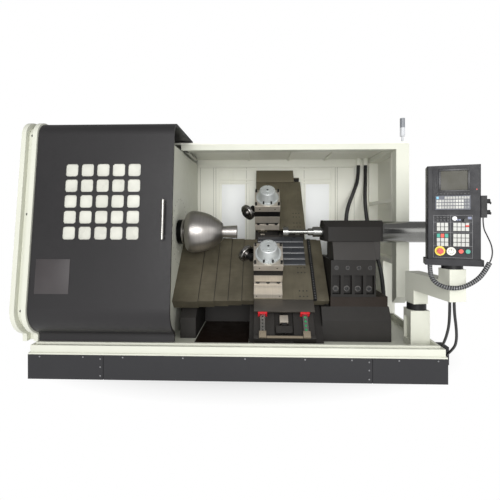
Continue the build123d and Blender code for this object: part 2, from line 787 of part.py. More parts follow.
bed += along_x(
    [
        (TAIL_BED_FRONT, tray_floor), (TAIL_BED_FRONT, TAIL_BED_FACE), (TAIL_WAY_FRONT, TAIL_WAY_FOOT),
        (BED_BACK, TAIL_WAY_FOOT), (BED_BACK, tray_floor),
    ],
    TAIL_BED_LEFT, BED_RIGHT,
)
keep("slant_bed", bed)

for rail_v in X_RAIL_V:
    PARTS["slant_bed"] += slab(
        BED_LEFT, TAIL_BED_LEFT - OVERRUN, rail_v - RAIL_WIDTH / 2, rail_v + RAIL_WIDTH / 2,
        -BED_DROP, -BED_DROP + RAIL_HEIGHT - SLIP,
    )

saddle_bottom = -BED_DROP + RAIL_HEIGHT
saddle_top = saddle_bottom + SADDLE_THICK
saddle_right = SADDLE_LEFT + SADDLE_WIDTH
saddle_mid = SADDLE_LEFT + SADDLE_WIDTH / 2


def cover(x0, x1, level, wiper, flange_x0, flange_x1):
    """A bent cover sheet with a front flange, and a wiper strip under one edge."""
    top = COVER_TOP - level * COVER_STEP
    foot = COVER_FOOT_V + level * COVER_STEP
    sheet = block(x0, x1, foot, COVER_HEAD_V, top - COVER_SHEET, top)
    sheet += block(flange_x0, flange_x1, foot, foot + COVER_SHEET, COVER_FLANGE_FOOT, top)
    if wiper:
        lip = COVER_STEP - COVER_SHEET - SLIP
        sheet += block(x1 - COVER_SHEET, x1, foot, COVER_HEAD_V, top - COVER_SHEET - lip, top)
    return SLANT * sheet


# Left covers: the widest is fixed to the partition, the last rides on the saddle
cover_left = PARTITION_X
for number, cover_right in enumerate(COVER_EDGES):
    last = number == len(COVER_EDGES) - 1
    flange_right = SADDLE_LEFT if last else cover_right
    sheet = cover(cover_left, cover_right, number, not last, cover_left, flange_right)
    keep(f"left_cover_{number + 1}", sheet)
    cover_left = cover_right - COVER_OVERLAP

# Right covers: one on the saddle, one fixed at the tailstock shelf
right_level = len(COVER_EDGES) - 1
inner_left, inner_right = RIGHT_COVER_EDGES
keep("right_cover_inner", cover(inner_left, inner_right, right_level, True, saddle_right, inner_right))
outer_left = inner_right - COVER_OVERLAP
outer_right = inner_right + RIGHT_COVER_REACH
keep("right_cover_outer", cover(outer_left, outer_right, right_level + 1, False, outer_left, outer_right))

# A web on the bed carries the outer right cover
outer_under = COVER_TOP - (right_level + 1) * COVER_STEP - COVER_SHEET
web_rise = slope_rise + (BED_DROP + outer_under) * math.sqrt(2)
PARTS["slant_bed"] += along_x(
    [
        (COVER_WEB_FRONT, TAIL_WAY_FOOT), (COVER_WEB_FRONT, COVER_WEB_FRONT + web_rise),
        (COVER_WEB_BACK, COVER_WEB_BACK + web_rise), (COVER_WEB_BACK, TAIL_WAY_FOOT),
    ],
    outer_right - SHEET, outer_right,
)

# Saddle: a long plate with side cheeks, cross rails, screw and end blocks
saddle = slab(SADDLE_LEFT, saddle_right, SADDLE_FOOT_V, SADDLE_HEAD_V, saddle_bottom, saddle_top)
saddle += slab(
    SADDLE_LEFT + SADDLE_RIB_INSET, saddle_right - SADDLE_RIB_INSET, SADDLE_RIB_V[0], SADDLE_RIB_V[1],
    saddle_bottom - SADDLE_RIB_DROP, saddle_bottom,
)
screw_slot = BEARING_BLOCK_WIDTH + 2 * OVERRUN
saddle -= slab(
    saddle_mid - screw_slot / 2, saddle_mid + screw_slot / 2,
    SADDLE_FOOT_V - OVERRUN, SADDLE_HEAD_V + OVERRUN, saddle_top - SADDLE_SIDE_DROP, saddle_top + OVERRUN,
)

cross_rails = []
rail_top = saddle_top + CROSS_RAIL_HEIGHT
for side in (-1, 1):
    rail_x = saddle_mid + side * CROSS_RAIL_SPREAD / 2
    cross_rails.append(slab(
        rail_x - CROSS_RAIL_WIDTH / 2, rail_x + CROSS_RAIL_WIDTH / 2,
        SADDLE_FOOT_V + FOOT_BAR_LENGTH, SADDLE_HEAD_V - HEAD_BLOCK, saddle_top, rail_top,
    ))
keep("cross_rails", *cross_rails)

saddle += slab(
    SADDLE_LEFT, saddle_right, SADDLE_FOOT_V, SADDLE_FOOT_V + FOOT_BAR_LENGTH, saddle_top, rail_top,
)

screw_bed = saddle_top - SADDLE_SIDE_DROP
saddle += slab(
    SADDLE_LEFT, saddle_right, SADDLE_HEAD_V - HEAD_BLOCK, SADDLE_HEAD_V, saddle_top, HOOD_K[0],
) - slab(
    saddle_mid - screw_slot / 2, saddle_mid + screw_slot / 2, SADDLE_HEAD_V - HEAD_BLOCK - OVERRUN,
    SADDLE_HEAD_V + OVERRUN, saddle_top - OVERRUN, screw_bed + BEARING_BLOCK_HEIGHT,
)
saddle += slab(SADDLE_LEFT, SADDLE_LEFT + HOOD_WIDTH, HOOD_V[0], HOOD_V[1], HOOD_K[0], HOOD_K[1])
screw_k = screw_bed + BEARING_BLOCK_HEIGHT / 2
bearing_starts = (SADDLE_FOOT_V + 2 * FOOT_BAR_LENGTH, SADDLE_HEAD_V - BEARING_BLOCK_LENGTH)
for start in bearing_starts:
    brick = slab(
        saddle_mid - BEARING_BLOCK_WIDTH / 2, saddle_mid + BEARING_BLOCK_WIDTH / 2,
        start, start + BEARING_BLOCK_LENGTH, screw_bed, screw_bed + BEARING_BLOCK_HEIGHT,
    )
    bore = Pos(saddle_mid, start + BEARING_BLOCK_LENGTH / 2, screw_k) * Rot(90, 0, 0)
    brick -= SLANT * (bore * Cylinder(CROSS_SCREW_RADIUS + RUNNING, 2 * BEARING_BLOCK_LENGTH))
    saddle += brick
keep("saddle", saddle)

screw_start = bearing_starts[0]
screw_end = SADDLE_HEAD_V
screw_place = Pos(saddle_mid, (screw_start + screw_end) / 2, screw_k) * Rot(90, 0, 0)
keep("cross_screw", SLANT * (screw_place * Cylinder(CROSS_SCREW_RADIUS, screw_end - screw_start)))


def slide(plate_v):
    """A slide plate with four guide blocks on the cross rails and a nut on the screw."""
    low, high = plate_v
    plate_bottom = -PLATE_THICK
    plate = block(SADDLE_LEFT, SADDLE_LEFT + PLATE_WIDTH, low, high, plate_bottom, 0)
    block_half = CROSS_RAIL_WIDTH / 2 + PLATE_SHOULDER
    for side in (-1, 1):
        rail_x = saddle_mid + side * CROSS_RAIL_SPREAD / 2
        for start in (low + OVERRUN, high - GUIDE_BLOCK_LENGTH - OVERRUN):
            guide = block(
                rail_x - block_half, rail_x + block_half, start, start + GUIDE_BLOCK_LENGTH,
                saddle_top + SLIP, plate_bottom,
            )
            guide -= block(
                rail_x - CROSS_RAIL_WIDTH / 2 - SLIP, rail_x + CROSS_RAIL_WIDTH / 2 + SLIP,
                start - OVERRUN, start + GUIDE_BLOCK_LENGTH + OVERRUN, saddle_top, rail_top + SLIP,
            )
            plate += guide
    return SLANT * plate


keep("lower_slide", slide(LOWER_PLATE_V))
keep("upper_slide", slide(UPPER_PLATE_V))


# Bellows between the lower slide and the centre cover, as a row of folds
bellows_low = LOWER_PLATE_V[1] + SLIP
bellows_high = CENTRE_COVER_V[0]
fold_pitch = (bellows_high - bellows_low) / BELLOWS_FOLDS
bellows_base = rail_top + PLATE_GAP
bellows_points = [(bellows_low, bellows_base)]
for number in range(BELLOWS_FOLDS):
    fold_start = bellows_low + number * fold_pitch
    bellows_points.append((fold_start, bellows_base + BELLOWS_HIGH / 3))
    bellows_points.append((fold_start + fold_pitch / 2, bellows_base + BELLOWS_HIGH))
bellows_points.append((bellows_high, bellows_base + BELLOWS_HIGH / 3))
bellows_points.append((bellows_high, bellows_base))
bellows_face = Plane.YZ * make_face(Polyline(*bellows_points, close=True))
bellows = Pos(saddle_mid - BELLOWS_WIDTH / 2, 0, 0) * extrude(bellows_face, BELLOWS_WIDTH, dir=(1, 0, 0))
keep("bellows", SLANT * bellows)

PARTS["saddle"] += slab(
    saddle_mid - BELLOWS_WIDTH / 2, saddle_mid + BELLOWS_WIDTH / 2,
    CENTRE_COVER_V[0], CENTRE_COVER_V[1], saddle_top, -PLATE_THICK - SLIP,
) - slab(
    saddle_mid - screw_slot / 2, saddle_mid + screw_slot / 2,
    CENTRE_COVER_V[0] - OVERRUN, CENTRE_COVER_V[1] + OVERRUN, saddle_top - OVERRUN, rail_top,
)
for rail in cross_rails:
    PARTS["saddle"] -= rail


# Turrets: a base on the slide, an indexing head with a tool slot, and a domed motor cap
head_bottom = TURRET_BASE + TURRET_NECK
slot_bottom = head_bottom + TURRET_LOWER
slot_top = slot_bottom + TURRET_SLOT
head_top = slot_top + TURRET_UPPER


def square(side, v, k0, k1):
    """A square block on the turret's axis."""
    return SLANT * block(TURRET_X - side / 2, TURRET_X + side / 2, v - side / 2, v + side / 2, k0, k1)


def turret_base(v):
    """The fixed block and its narrower top step."""
    return square(TURRET_SIDE, v, 0, TURRET_BASE) + square(
        TURRET_SIDE - 2 * TURRET_NECK_INSET, v, TURRET_BASE, head_bottom - SLIP)


def turret_head(v):
    """Two plates joined by a core, with square-headed clamp bolts through the upper one."""
    head = square(TURRET_SIDE, v, head_bottom, slot_bottom)
    head += square(TURRET_CORE, v, slot_bottom, slot_top)
    head += square(TURRET_SIDE, v, slot_top, head_top)
    for side in (-1, 1):
        for number in range(CLAMP_BOLT_COUNT):
            offset = (number - (CLAMP_BOLT_COUNT - 1) / 2) * CLAMP_BOLT_SPREAD
            bolt = Box(CLAMP_BOLT_SIDE, CLAMP_BOLT_SIDE, CLAMP_BOLT_HEIGHT)
            bolt_x = TURRET_X + side * CLAMP_BOLT_OUT
            head += SLANT * Pos(bolt_x, v + offset, head_top + CLAMP_BOLT_HEIGHT / 2) * bolt
    return head


def turret_dome(v):
    """A tapered round cap on a wide foot, with a rounded top edge."""
    foot = slant_disc(DOME_RADIUS, TURRET_X, v, head_top, head_top + DOME_FOOT)
    taper = Cone(DOME_WAIST_RADIUS, DOME_TOP_RADIUS, DOME_HEIGHT - DOME_FOOT)
    taper = fillet(taper.edges().group_by(Axis.Z)[-1], DOME_EDGE)
    return foot + SLANT * Pos(TURRET_X, v, head_top + (DOME_HEIGHT + DOME_FOOT) / 2) * taper


def roller_plane(side):
    """A plane at the roller's centre, its normal along the tilted axle towards the work."""
    centre = slant_point(ROLLER_X, -side * ROLLER_V, ROLLER_K)
    tip = slant_point(ROLLER_X - ROLLER_V, -side * (ROLLER_V - ROLLER_V), ROLLER_K)
    return Plane(origin=centre, z_dir=tip - centre)


def roller(side):
    """A forming roller with a rounded nose and two hub faces."""
    half = ROLLER_WIDTH / 2
    wheel = Cylinder(ROLLER_RADIUS, ROLLER_WIDTH)
    wheel = fillet(wheel.edges(), ROLLER_NOSE)
    wheel += Cylinder(ROLLER_HUB_RADIUS, ROLLER_WIDTH + 2 * ROLLER_HUB)
    wheel -= Cylinder(AXLE_RADIUS + RUNNING, 2 * half + 4 * ROLLER_HUB)
    return roller_plane(side) * wheel


def roller_arm(side):
    """Two tool bars in the turret slot, the inner one with an angled head and the roller's axle and cap."""
    bars = []
    for out, reach in ((-1, ARM_REACH), (1, 0)):
        v = -side * (TURRET_V + out * (TURRET_CORE + ARM_WIDTH) / 2)
        bars.append(SLANT * block(
            TURRET_X - TURRET_SIDE / 2 - reach, TURRET_X + TURRET_SIDE / 2,
            v - ARM_WIDTH / 2, v + ARM_WIDTH / 2, slot_bottom, slot_bottom + ARM_HEIGHT,
        ))
    hub = ROLLER_WIDTH / 2 + ROLLER_HUB + SLIP
    head = Pos(0, 0, -hub - ARM_HEAD_LENGTH / 2) * Cylinder(ARM_HEAD_RADIUS, ARM_HEAD_LENGTH)
    axle = Cylinder(AXLE_RADIUS, 2 * hub)
    cap = Pos(0, 0, hub + AXLE_CAP / 2) * Cylinder(AXLE_CAP_RADIUS, AXLE_CAP)
    return bars[0] + roller_plane(side) * (head + axle + cap), bars[1]


for label, side in (("lower", 1), ("upper", -1)):
    turret_v = -side * TURRET_V
    PARTS[f"{label}_slide"] += turret_base(turret_v)
    keep(f"{label}_turret", turret_head(turret_v))
    keep(f"{label}_dome", turret_dome(turret_v))
    keep(f"{label}_roller", roller(side))
    keep(f"{label}_roller_arm", *roller_arm(side))

toe_top = -TURRET_V - TURRET_SIDE / 2
PARTS["lower_slide"] += slab(
    TURRET_X - TURRET_SIDE / 2, TURRET_X + TURRET_SIDE / 2,
    toe_top - TURRET_TOE, toe_top, 0, TURRET_TOE_HEIGHT,
)

# Tailstock: ribbed foot on a ground way, flange, neck and a chamfered head
tail_front = AXIS_Y - TAIL_DEPTH / 2
tail_back = AXIS_Y + TAIL_DEPTH / 2
PARTS["slant_bed"] += block(
    TAIL_WAY_X[0], TAIL_WAY_X[1], TAIL_WAY_FRONT, TAIL_WAY_BACK, TAIL_WAY_FOOT, TAIL_WAY_TOP,
)
foot_front = TAIL_WAY_FRONT - TAIL_FLANGE_STEP
foot_back = TAIL_WAY_BACK - TAIL_FLANGE_STEP
foot_left, foot_right = TAIL_FOOT_X
tail = block(foot_left, foot_right, foot_front, foot_back, TAIL_WAY_TOP, TAIL_FLANGE_TOP)
pocket_pitch = (foot_right - foot_left) / TAIL_POCKETS
pocket_half = TAIL_POCKET_SHARE * pocket_pitch / 2
for number in range(TAIL_POCKETS):
    pocket_x = foot_left + (2 * number + 1) * pocket_pitch / 2
    tail -= block(
        pocket_x - pocket_half, pocket_x + pocket_half, foot_front - OVERRUN, foot_front + TAIL_POCKET_DEPTH,
        TAIL_WAY_TOP + TAIL_WAY_MARGIN, TAIL_FOOT_TOP,
    )
    seat = Rot(90, 0, 0) * Cylinder(TAIL_BOLT_RADIUS, 2 * TAIL_BOLT_HEAD)
    tail -= Pos(pocket_x, foot_front, (TAIL_FOOT_TOP + TAIL_FLANGE_TOP) / 2) * seat
neck_front = tail_front + TAIL_FLANGE_STEP
neck_back = tail_back - TAIL_FLANGE_STEP
tail += along_x(
    [
        (foot_front, TAIL_FLANGE_TOP), (neck_front, TAIL_NECK_TOP), (neck_back, TAIL_NECK_TOP),
        (neck_back, TAIL_FLANGE_TOP),
    ],
    TAIL_NECK_X[0], foot_right,
)
tail += block(foot_right, TAIL_NECK_X[1], neck_front, neck_back, TAIL_FLANGE_TOP, TAIL_NECK_TOP)
head = along_x(
    [
        (tail_front, TAIL_NECK_TOP), (tail_front, TAIL_HEAD_TOP - TAIL_CHAMFER),
        (tail_front + TAIL_CHAMFER, TAIL_HEAD_TOP), (tail_back - TAIL_CHAMFER, TAIL_HEAD_TOP),
        (tail_back, TAIL_HEAD_TOP - TAIL_CHAMFER), (tail_back, TAIL_NECK_TOP),
    ],
    TAIL_LEFT, TAIL_RIGHT,
)
front_uprights = head.edges().filter_by(Axis.Z).group_by(Axis.Y)[0]
tail += chamfer(front_uprights, TAIL_END_CHAMFER)
tail -= rod_x(SLEEVE_BIG_RADIUS, TAIL_LEFT - OVERRUN, TAIL_RIGHT + OVERRUN)
keep("tailstock", tail)

sleeve = rod_x(SLEEVE_RADIUS, SLEEVE_LEFT, SLEEVE_STEP_X)
sleeve += rod_x(SLEEVE_BIG_RADIUS - RUNNING, SLEEVE_STEP_X, TAIL_RIGHT)
sleeve -= rod_x(QUILL_RADIUS + RUNNING, SLEEVE_LEFT - OVERRUN, TAIL_RIGHT + OVERRUN)

bore_left = TAIL_RIGHT + CYLINDER_CAP
bore_right = CYLINDER_RIGHT - CYLINDER_CAP
bore_radius = CYLINDER_RADIUS - CYLINDER_WALL
cylinder = rod_x(CYLINDER_RADIUS, TAIL_RIGHT, CYLINDER_RIGHT)
cylinder -= rod_x(bore_radius, bore_left, bore_right)
cylinder -= rod_x(QUILL_RADIUS + RUNNING, TAIL_RIGHT - OVERRUN, bore_left + OVERRUN)
keep("feed_cylinder", cylinder + sleeve)

pusher_right = PUSHER_LEFT + PUSHER_WIDTH
piston_x = QUILL_BACK - PISTON_WIDTH
quill = rod_x(QUILL_RADIUS, pusher_right, QUILL_BACK)
quill += rod_x(bore_radius - RUNNING, piston_x, QUILL_BACK)
quill += rod_x(PUSHER_BORE, PUSHER_LEFT + PUSHER_WIDTH / 3, pusher_right)
keep("quill", quill)
pusher = rod_x(PUSHER_RADIUS, PUSHER_LEFT, pusher_right - SLIP)
pusher -= rod_x(PUSHER_BORE + RUNNING, PUSHER_LEFT + PUSHER_WIDTH / 3 - SLIP, pusher_right + OVERRUN)
keep("pusher_disc", pusher)


def tube(points, radius, place):
    """A cord's solid: straight runs joined by arcs as large as the runs allow."""
    spots = [place * Pos(*point) for point in points]
    spots = [spot.position for spot in spots]
    radii = []
    for before, here, after in zip(spots, spots[1:], spots[2:]):
        turn = math.radians((here - before).get_angle(after - here))
        shorter = min((here - before).length, (after - here).length)
        radii.append(BEND_SHARE * shorter / math.tan(turn / 2))
    path = FilletPolyline(*spots, radius=radii)
    print("least radius", round(min(radii)), "length", round(path.length))
    return sweep(Plane(origin=path @ 0, z_dir=path % 0) * Circle(radius), path=path)


keep("conduit_left", tube(LEFT_CONDUIT, CONDUIT_RADIUS, Location()))
keep("conduit_right", tube(RIGHT_CONDUIT, CONDUIT_RADIUS, Location()))
for route in (LEFT_CONDUIT, RIGHT_CONDUIT):
    gland_x, gland_y, gland_z = route[0]
    ceiling += disc(GLAND_RADIUS, gland_x, gland_y, gland_z, CABINET_CEILING)
keep("ceiling", ceiling)
gland_x, gland_y, gland_z = RIGHT_CONDUIT[-1]
tray += disc(GLAND_RADIUS, gland_x, gland_y, tray_floor, gland_z)
keep("chip_tray", tray)

# Pendant post, swivel ring, arm and neck
post = block(
    POST_X - POST_SIDE / 2, POST_X + POST_SIDE / 2, POST_Y - POST_SIDE / 2, POST_Y + POST_SIDE / 2,
    tray_floor, POST_TOP,
)
post -= block(
    POST_X - POST_SIDE / 2 - OVERRUN, POST_X - POST_SIDE / 2 + POST_RECESS / 3,
    POST_Y - POST_RECESS, POST_Y + POST_RECESS, POST_TOP - 4 * POST_RECESS, POST_TOP - POST_RECESS,
)
post += disc(SWIVEL_RADIUS, POST_X, POST_Y, POST_TOP, SWIVEL_TOP)
keep("pendant_post", post)

arm_run = Vector(PENDANT_X - POST_X, PENDANT_Y - POST_Y)
arm_angle = math.degrees(math.atan2(arm_run.Y, arm_run.X))
arm = Box(arm_run.length, ARM_BREADTH, ARM_TOP - ARM_BOTTOM)
arm = Pos(arm_run.length / 2, 0, (ARM_BOTTOM + ARM_TOP) / 2) * arm
pivot = Box(PIVOT_SIDE, PIVOT_SIDE, ARM_TOP - SWIVEL_TOP - SLIP)
pivot = Pos(0, 0, (SWIVEL_TOP + ARM_TOP + SLIP) / 2) * pivot
neck = Pos(arm_run.length, 0, (ARM_BOTTOM + NECK_TOP) / 2) * Box(NECK_SIDE, NECK_SIDE, NECK_TOP - ARM_BOTTOM)
ring = disc(NECK_RING_RADIUS, arm_run.length, 0, NECK_TOP, PENDANT_BOTTOM - SLIP)
keep("pendant_arm", Pos(POST_X, POST_Y, 0) * Rot(0, 0, arm_angle) * (arm + pivot + neck + ring))

# Pendant case with a foot lip and two raised panels
PENDANT = Pos(PENDANT_X, PENDANT_Y, 0) * Rot(0, 0, PENDANT_YAW)
half_width = PENDANT_WIDTH / 2
face_y = -PENDANT_DEPTH / 2
back_y = PENDANT_DEPTH / 2
case = block(-half_width, half_width, face_y, back_y, PENDANT_BOTTOM, PENDANT_TOP)
case = fillet(case.edges().filter_by(Axis.Z), PENDANT_EDGE)
case += block(
    -half_width - LIP_REACH, half_width + LIP_REACH, face_y - LIP_REACH, back_y,
    PENDANT_BOTTOM, PENDANT_BOTTOM + LIP_HEIGHT,
)
panel_left = PANEL_SHIFT - PANEL_WIDTH / 2
panel_right = PANEL_SHIFT + PANEL_WIDTH / 2
panel_y = face_y - PANEL_RAISE
for low, high in (SCREEN_PANEL, KEY_PANEL):
    case += block(panel_left, panel_right, panel_y, face_y, low, high)
screen_low = SCREEN_Z - SCREEN_HEIGHT / 2
screen_high = SCREEN_Z + SCREEN_HEIGHT / 2
case -= block(
    SCREEN_X - SCREEN_WIDTH / 2, SCREEN_X + SCREEN_WIDTH / 2, panel_y - OVERRUN, face_y,
    screen_low, screen_high,
)


def face_disc(radius, x, z, proud, deep):
    """A round piece on the pendant's lower panel, standing proud of it and reaching into it."""
    bar = Rot(90, 0, 0) * Cylinder(radius, proud + deep)
    return Pos(x, panel_y - (proud - deep) / 2, z) * bar


wells = (
    (STOP_X, CONTROL_Z, STOP_STEM), (DIAL_X, CONTROL_Z, STOP_STEM), (RED_X, CONTROL_Z, BUTTON_RADIUS),
    (GREEN_X, CONTROL_Z, BUTTON_RADIUS), (SELECTOR_X, SELECTOR_Z, STOP_STEM),
)
case += face_disc(STOP_RING_RADIUS, STOP_X, CONTROL_Z, PANEL_RAISE, 0)
for button_x in (RED_X, GREEN_X):
    case += face_disc(BUTTON_BEZEL, button_x, CONTROL_Z, PANEL_RAISE, 0)
for well_x, well_z, well_radius in wells:
    case -= face_disc(well_radius + RUNNING, well_x, well_z, CONTROL_WELL, CONTROL_WELL)
hand_left = half_width
hand_right = half_width + HAND_UNIT_WIDTH
hand_y = face_y + HAND_UNIT_DEPTH / 2
case += block(hand_left, hand_right, face_y, face_y + HAND_UNIT_DEPTH, HAND_UNIT_Z[0], HAND_UNIT_Z[1])

screen = block(
    SCREEN_X - SCREEN_WIDTH / 2, SCREEN_X + SCREEN_WIDTH / 2, face_y - PANEL_RAISE / 2, face_y,
    screen_low, screen_high,
)
keep("pendant_screen", PENDANT * screen)


def keys(x, z, columns, rows):
    """A block of keys on a panel."""
    cap = Box(KEY_SIDE, KEY_RAISE, KEY_HEIGHT)
    caps = []
    for place in GridLocations(KEY_PITCH, KEY_ROW_PITCH, columns, rows):
        spot = place.position
        caps.append(Pos(x + spot.X, panel_y - KEY_RAISE / 2, z + spot.Y) * cap)
    return caps


key_caps = keys(LEFT_KEYS_X, LOW_KEYS_Z, 3, 3) + keys(RIGHT_KEYS_X, LOW_KEYS_Z, 4, 3)
key_caps += keys(LEFT_KEYS_X, HIGH_KEYS_Z, 3, 2) + keys(RIGHT_KEYS_X, HIGH_KEYS_Z, 4, 2)
keypad_half = KEYPAD_WIDTH / 2
key_caps.append(block(
    PANEL_SHIFT - keypad_half, PANEL_SHIFT + keypad_half, panel_y - KEY_RAISE, panel_y,
    KEYPAD_Z - KEYPAD_HEIGHT / 2, KEYPAD_Z + KEYPAD_HEIGHT / 2,
))
keep("pendant_keys", *[PENDANT * cap for cap in key_caps])

stop = face_disc(STOP_STEM, STOP_X, CONTROL_Z, STOP_HEIGHT, CONTROL_WELL - BUTTON_TRAVEL - SLIP)
stop_head_y = panel_y - PANEL_RAISE - BUTTON_TRAVEL - SLIP
stop_head = Rot(90, 0, 0) * Cylinder(STOP_RADIUS, STOP_HEIGHT / 2)
stop_head = Pos(STOP_X, stop_head_y - STOP_HEIGHT / 4, CONTROL_Z) * stop_head
keep("emergency_stop", PENDANT * (stop + stop_head))
for name, button_x in (("stop_button", RED_X), ("start_button", GREEN_X)):
    button_depth = CONTROL_WELL - BUTTON_TRAVEL - SLIP
    keep(name, PENDANT * face_disc(BUTTON_RADIUS, button_x, CONTROL_Z, BUTTON_HEIGHT, button_depth))

dial = face_disc(STOP_STEM, DIAL_X, CONTROL_Z, SLIP, CONTROL_WELL - SLIP)
dial += Pos(0, -SLIP, 0) * face_disc(DIAL_RADIUS, DIAL_X, CONTROL_Z, DIAL_HEIGHT, 0)
keep("feed_dial", PENDANT * dial)
selector = face_disc(STOP_STEM, SELECTOR_X, SELECTOR_Z, SLIP, CONTROL_WELL - SLIP)
selector += Pos(0, -SLIP, 0) * face_disc(SELECTOR_RADIUS, SELECTOR_X, SELECTOR_Z, SELECTOR_HEIGHT, 0)
keep("mode_selector", PENDANT * selector)

for share in HAND_KNOB_SHARES:
    knob_z = HAND_UNIT_Z[0] + share * (HAND_UNIT_Z[1] - HAND_UNIT_Z[0])
    case += rod_x(HAND_KNOB_RADIUS, hand_right, hand_right + HAND_KNOB_HEIGHT, hand_y, knob_z)
keep("pendant_case", PENDANT * case)

# Signal lamp on the column's top
lamp_foot = roof_top
lamp = disc(LAMP_STEM, LAMP_X, LAMP_Y, lamp_foot, lamp_foot + LAMP_STEM_HEIGHT)
lamp_body = lamp_foot + LAMP_STEM_HEIGHT
lamp += disc(LAMP_RADIUS, LAMP_X, LAMP_Y, lamp_body, lamp_body + LAMP_BODY + LAMP_LENS)
keep("signal_lamp", lamp)

# Cables from the arm's neck into a box on the plinth's right side, and the hand unit's cord
keep("cable_left", tube(LEFT_CABLE, CABLE_RADIUS, Location()))
keep("cable_right", tube(RIGHT_CABLE, CABLE_RADIUS, Location()))
cable_box = block(
    plinth_right, plinth_right + CABLE_BOX_WIDTH, CABLE_BOX_FRONT, CABLE_BOX_FRONT + CABLE_BOX_DEPTH,
    CABLE_BOX_Z[0], CABLE_BOX_Z[1],
)
for route in (LEFT_CABLE, RIGHT_CABLE):
    end = Vector(*route[-1])
    heading = (end - Vector(*route[-2])).normalized()
    nose_place = Plane(origin=end + heading * CABLE_GLAND / 2, z_dir=heading)
    nose = nose_place * Cylinder(CABLE_GLAND_RADIUS, CABLE_GLAND)
    cable_box += nose
PARTS["plinth"] += cable_box
keep("curly_cord", tube(CURLY_CORD, CURLY_RADIUS, PENDANT))
keep("hand_cord", tube(HAND_CORD, HAND_CORD_RADIUS, PENDANT))

# One file for each piece
os.makedirs("parts", exist_ok=True)
for name, solid in PARTS.items():
    export_step(solid, f"parts/{name}.step")
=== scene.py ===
"""Finishes, fittings and studio for a slant-bed metal spinning machine."""
import json
import math

import bmesh
import bpy
from mathutils import Matrix, Vector
from mathutils.bvhtree import BVHTree

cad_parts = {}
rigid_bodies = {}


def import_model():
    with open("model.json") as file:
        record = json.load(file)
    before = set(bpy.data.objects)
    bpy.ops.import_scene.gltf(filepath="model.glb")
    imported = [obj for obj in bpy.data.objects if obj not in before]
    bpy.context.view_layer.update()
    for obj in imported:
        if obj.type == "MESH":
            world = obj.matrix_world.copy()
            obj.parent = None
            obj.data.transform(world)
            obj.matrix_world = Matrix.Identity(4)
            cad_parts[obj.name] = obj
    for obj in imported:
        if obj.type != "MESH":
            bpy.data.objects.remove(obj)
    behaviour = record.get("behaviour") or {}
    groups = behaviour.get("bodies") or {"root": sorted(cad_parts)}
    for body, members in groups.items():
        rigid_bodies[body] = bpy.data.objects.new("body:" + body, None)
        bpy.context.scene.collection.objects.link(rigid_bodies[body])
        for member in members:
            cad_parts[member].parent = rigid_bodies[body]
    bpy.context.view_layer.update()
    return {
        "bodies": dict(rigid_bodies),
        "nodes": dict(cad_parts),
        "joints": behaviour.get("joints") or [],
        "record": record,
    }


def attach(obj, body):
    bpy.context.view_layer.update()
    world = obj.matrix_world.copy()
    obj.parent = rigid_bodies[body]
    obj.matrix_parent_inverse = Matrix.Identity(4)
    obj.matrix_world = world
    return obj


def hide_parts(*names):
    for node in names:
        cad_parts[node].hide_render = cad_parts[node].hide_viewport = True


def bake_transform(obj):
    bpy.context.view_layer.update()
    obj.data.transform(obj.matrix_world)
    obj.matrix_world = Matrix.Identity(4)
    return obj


bl_info = {
    "name": "Spinning machine dresser",
    "version": (1, 0, 0),
    "blender": (4, 5, 0),
    "location": "3D View > Sidebar > Machine",
    "description": "Finishes and fittings for a slant-bed metal spinning machine",
    "category": "Object",
}

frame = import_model()
NODES = frame["nodes"]
ROOT_HALF = math.sqrt(0.5)

# Slant plate frame: local x along the bed, y up the slope, z off the plate
AXIS = Vector((0, -0.218, 1.085))
PLATE_STAND = 0.212
SLANT = Matrix.Translation(AXIS - Vector((0, -ROOT_HALF, ROOT_HALF)) * PLATE_STAND) @ Matrix((
    (1, 0, 0, 0),
    (0, ROOT_HALF, -ROOT_HALF, 0),
    (0, ROOT_HALF, ROOT_HALF, 0),
    (0, 0, 0, 1),
))

# Pendant frame: local x across the face, y into the face, z up
PENDANT_PLACE = Vector((1.507, -0.937, 0))
PENDANT_YAW = math.radians(-18)
PENDANT = Matrix.Translation(PENDANT_PLACE) @ Matrix.Rotation(PENDANT_YAW, 4, "Z")

# Directions in the machine or in a slant or pendant frame
UP = (0, 0, 1)
FRONT = (0, -1, 0)
ALONG = (1, 0, 0)


def srgb(red, green, blue):
    """A linear colour from 0 to 255 display values."""
    def linear(value):
        share = value / 255
        return share / 12.92 if share <= 0.04045 else ((share + 0.055) / 1.055) ** 2.4
    return (linear(red), linear(green), linear(blue))


def colour(name, description, *display):
    """A colour property with its default in display values."""
    return bpy.props.FloatVectorProperty(
        name=name, description=description, subtype="COLOR", size=3, min=0, max=1, default=srgb(*display))


def number(name, description, value, **limits):
    """A number property."""
    return bpy.props.FloatProperty(name=name, description=description, default=value, **limits)


def length(name, description, metres):
    """A length property in metres."""
    return number(name, description, metres, min=0, unit="LENGTH", subtype="DISTANCE")


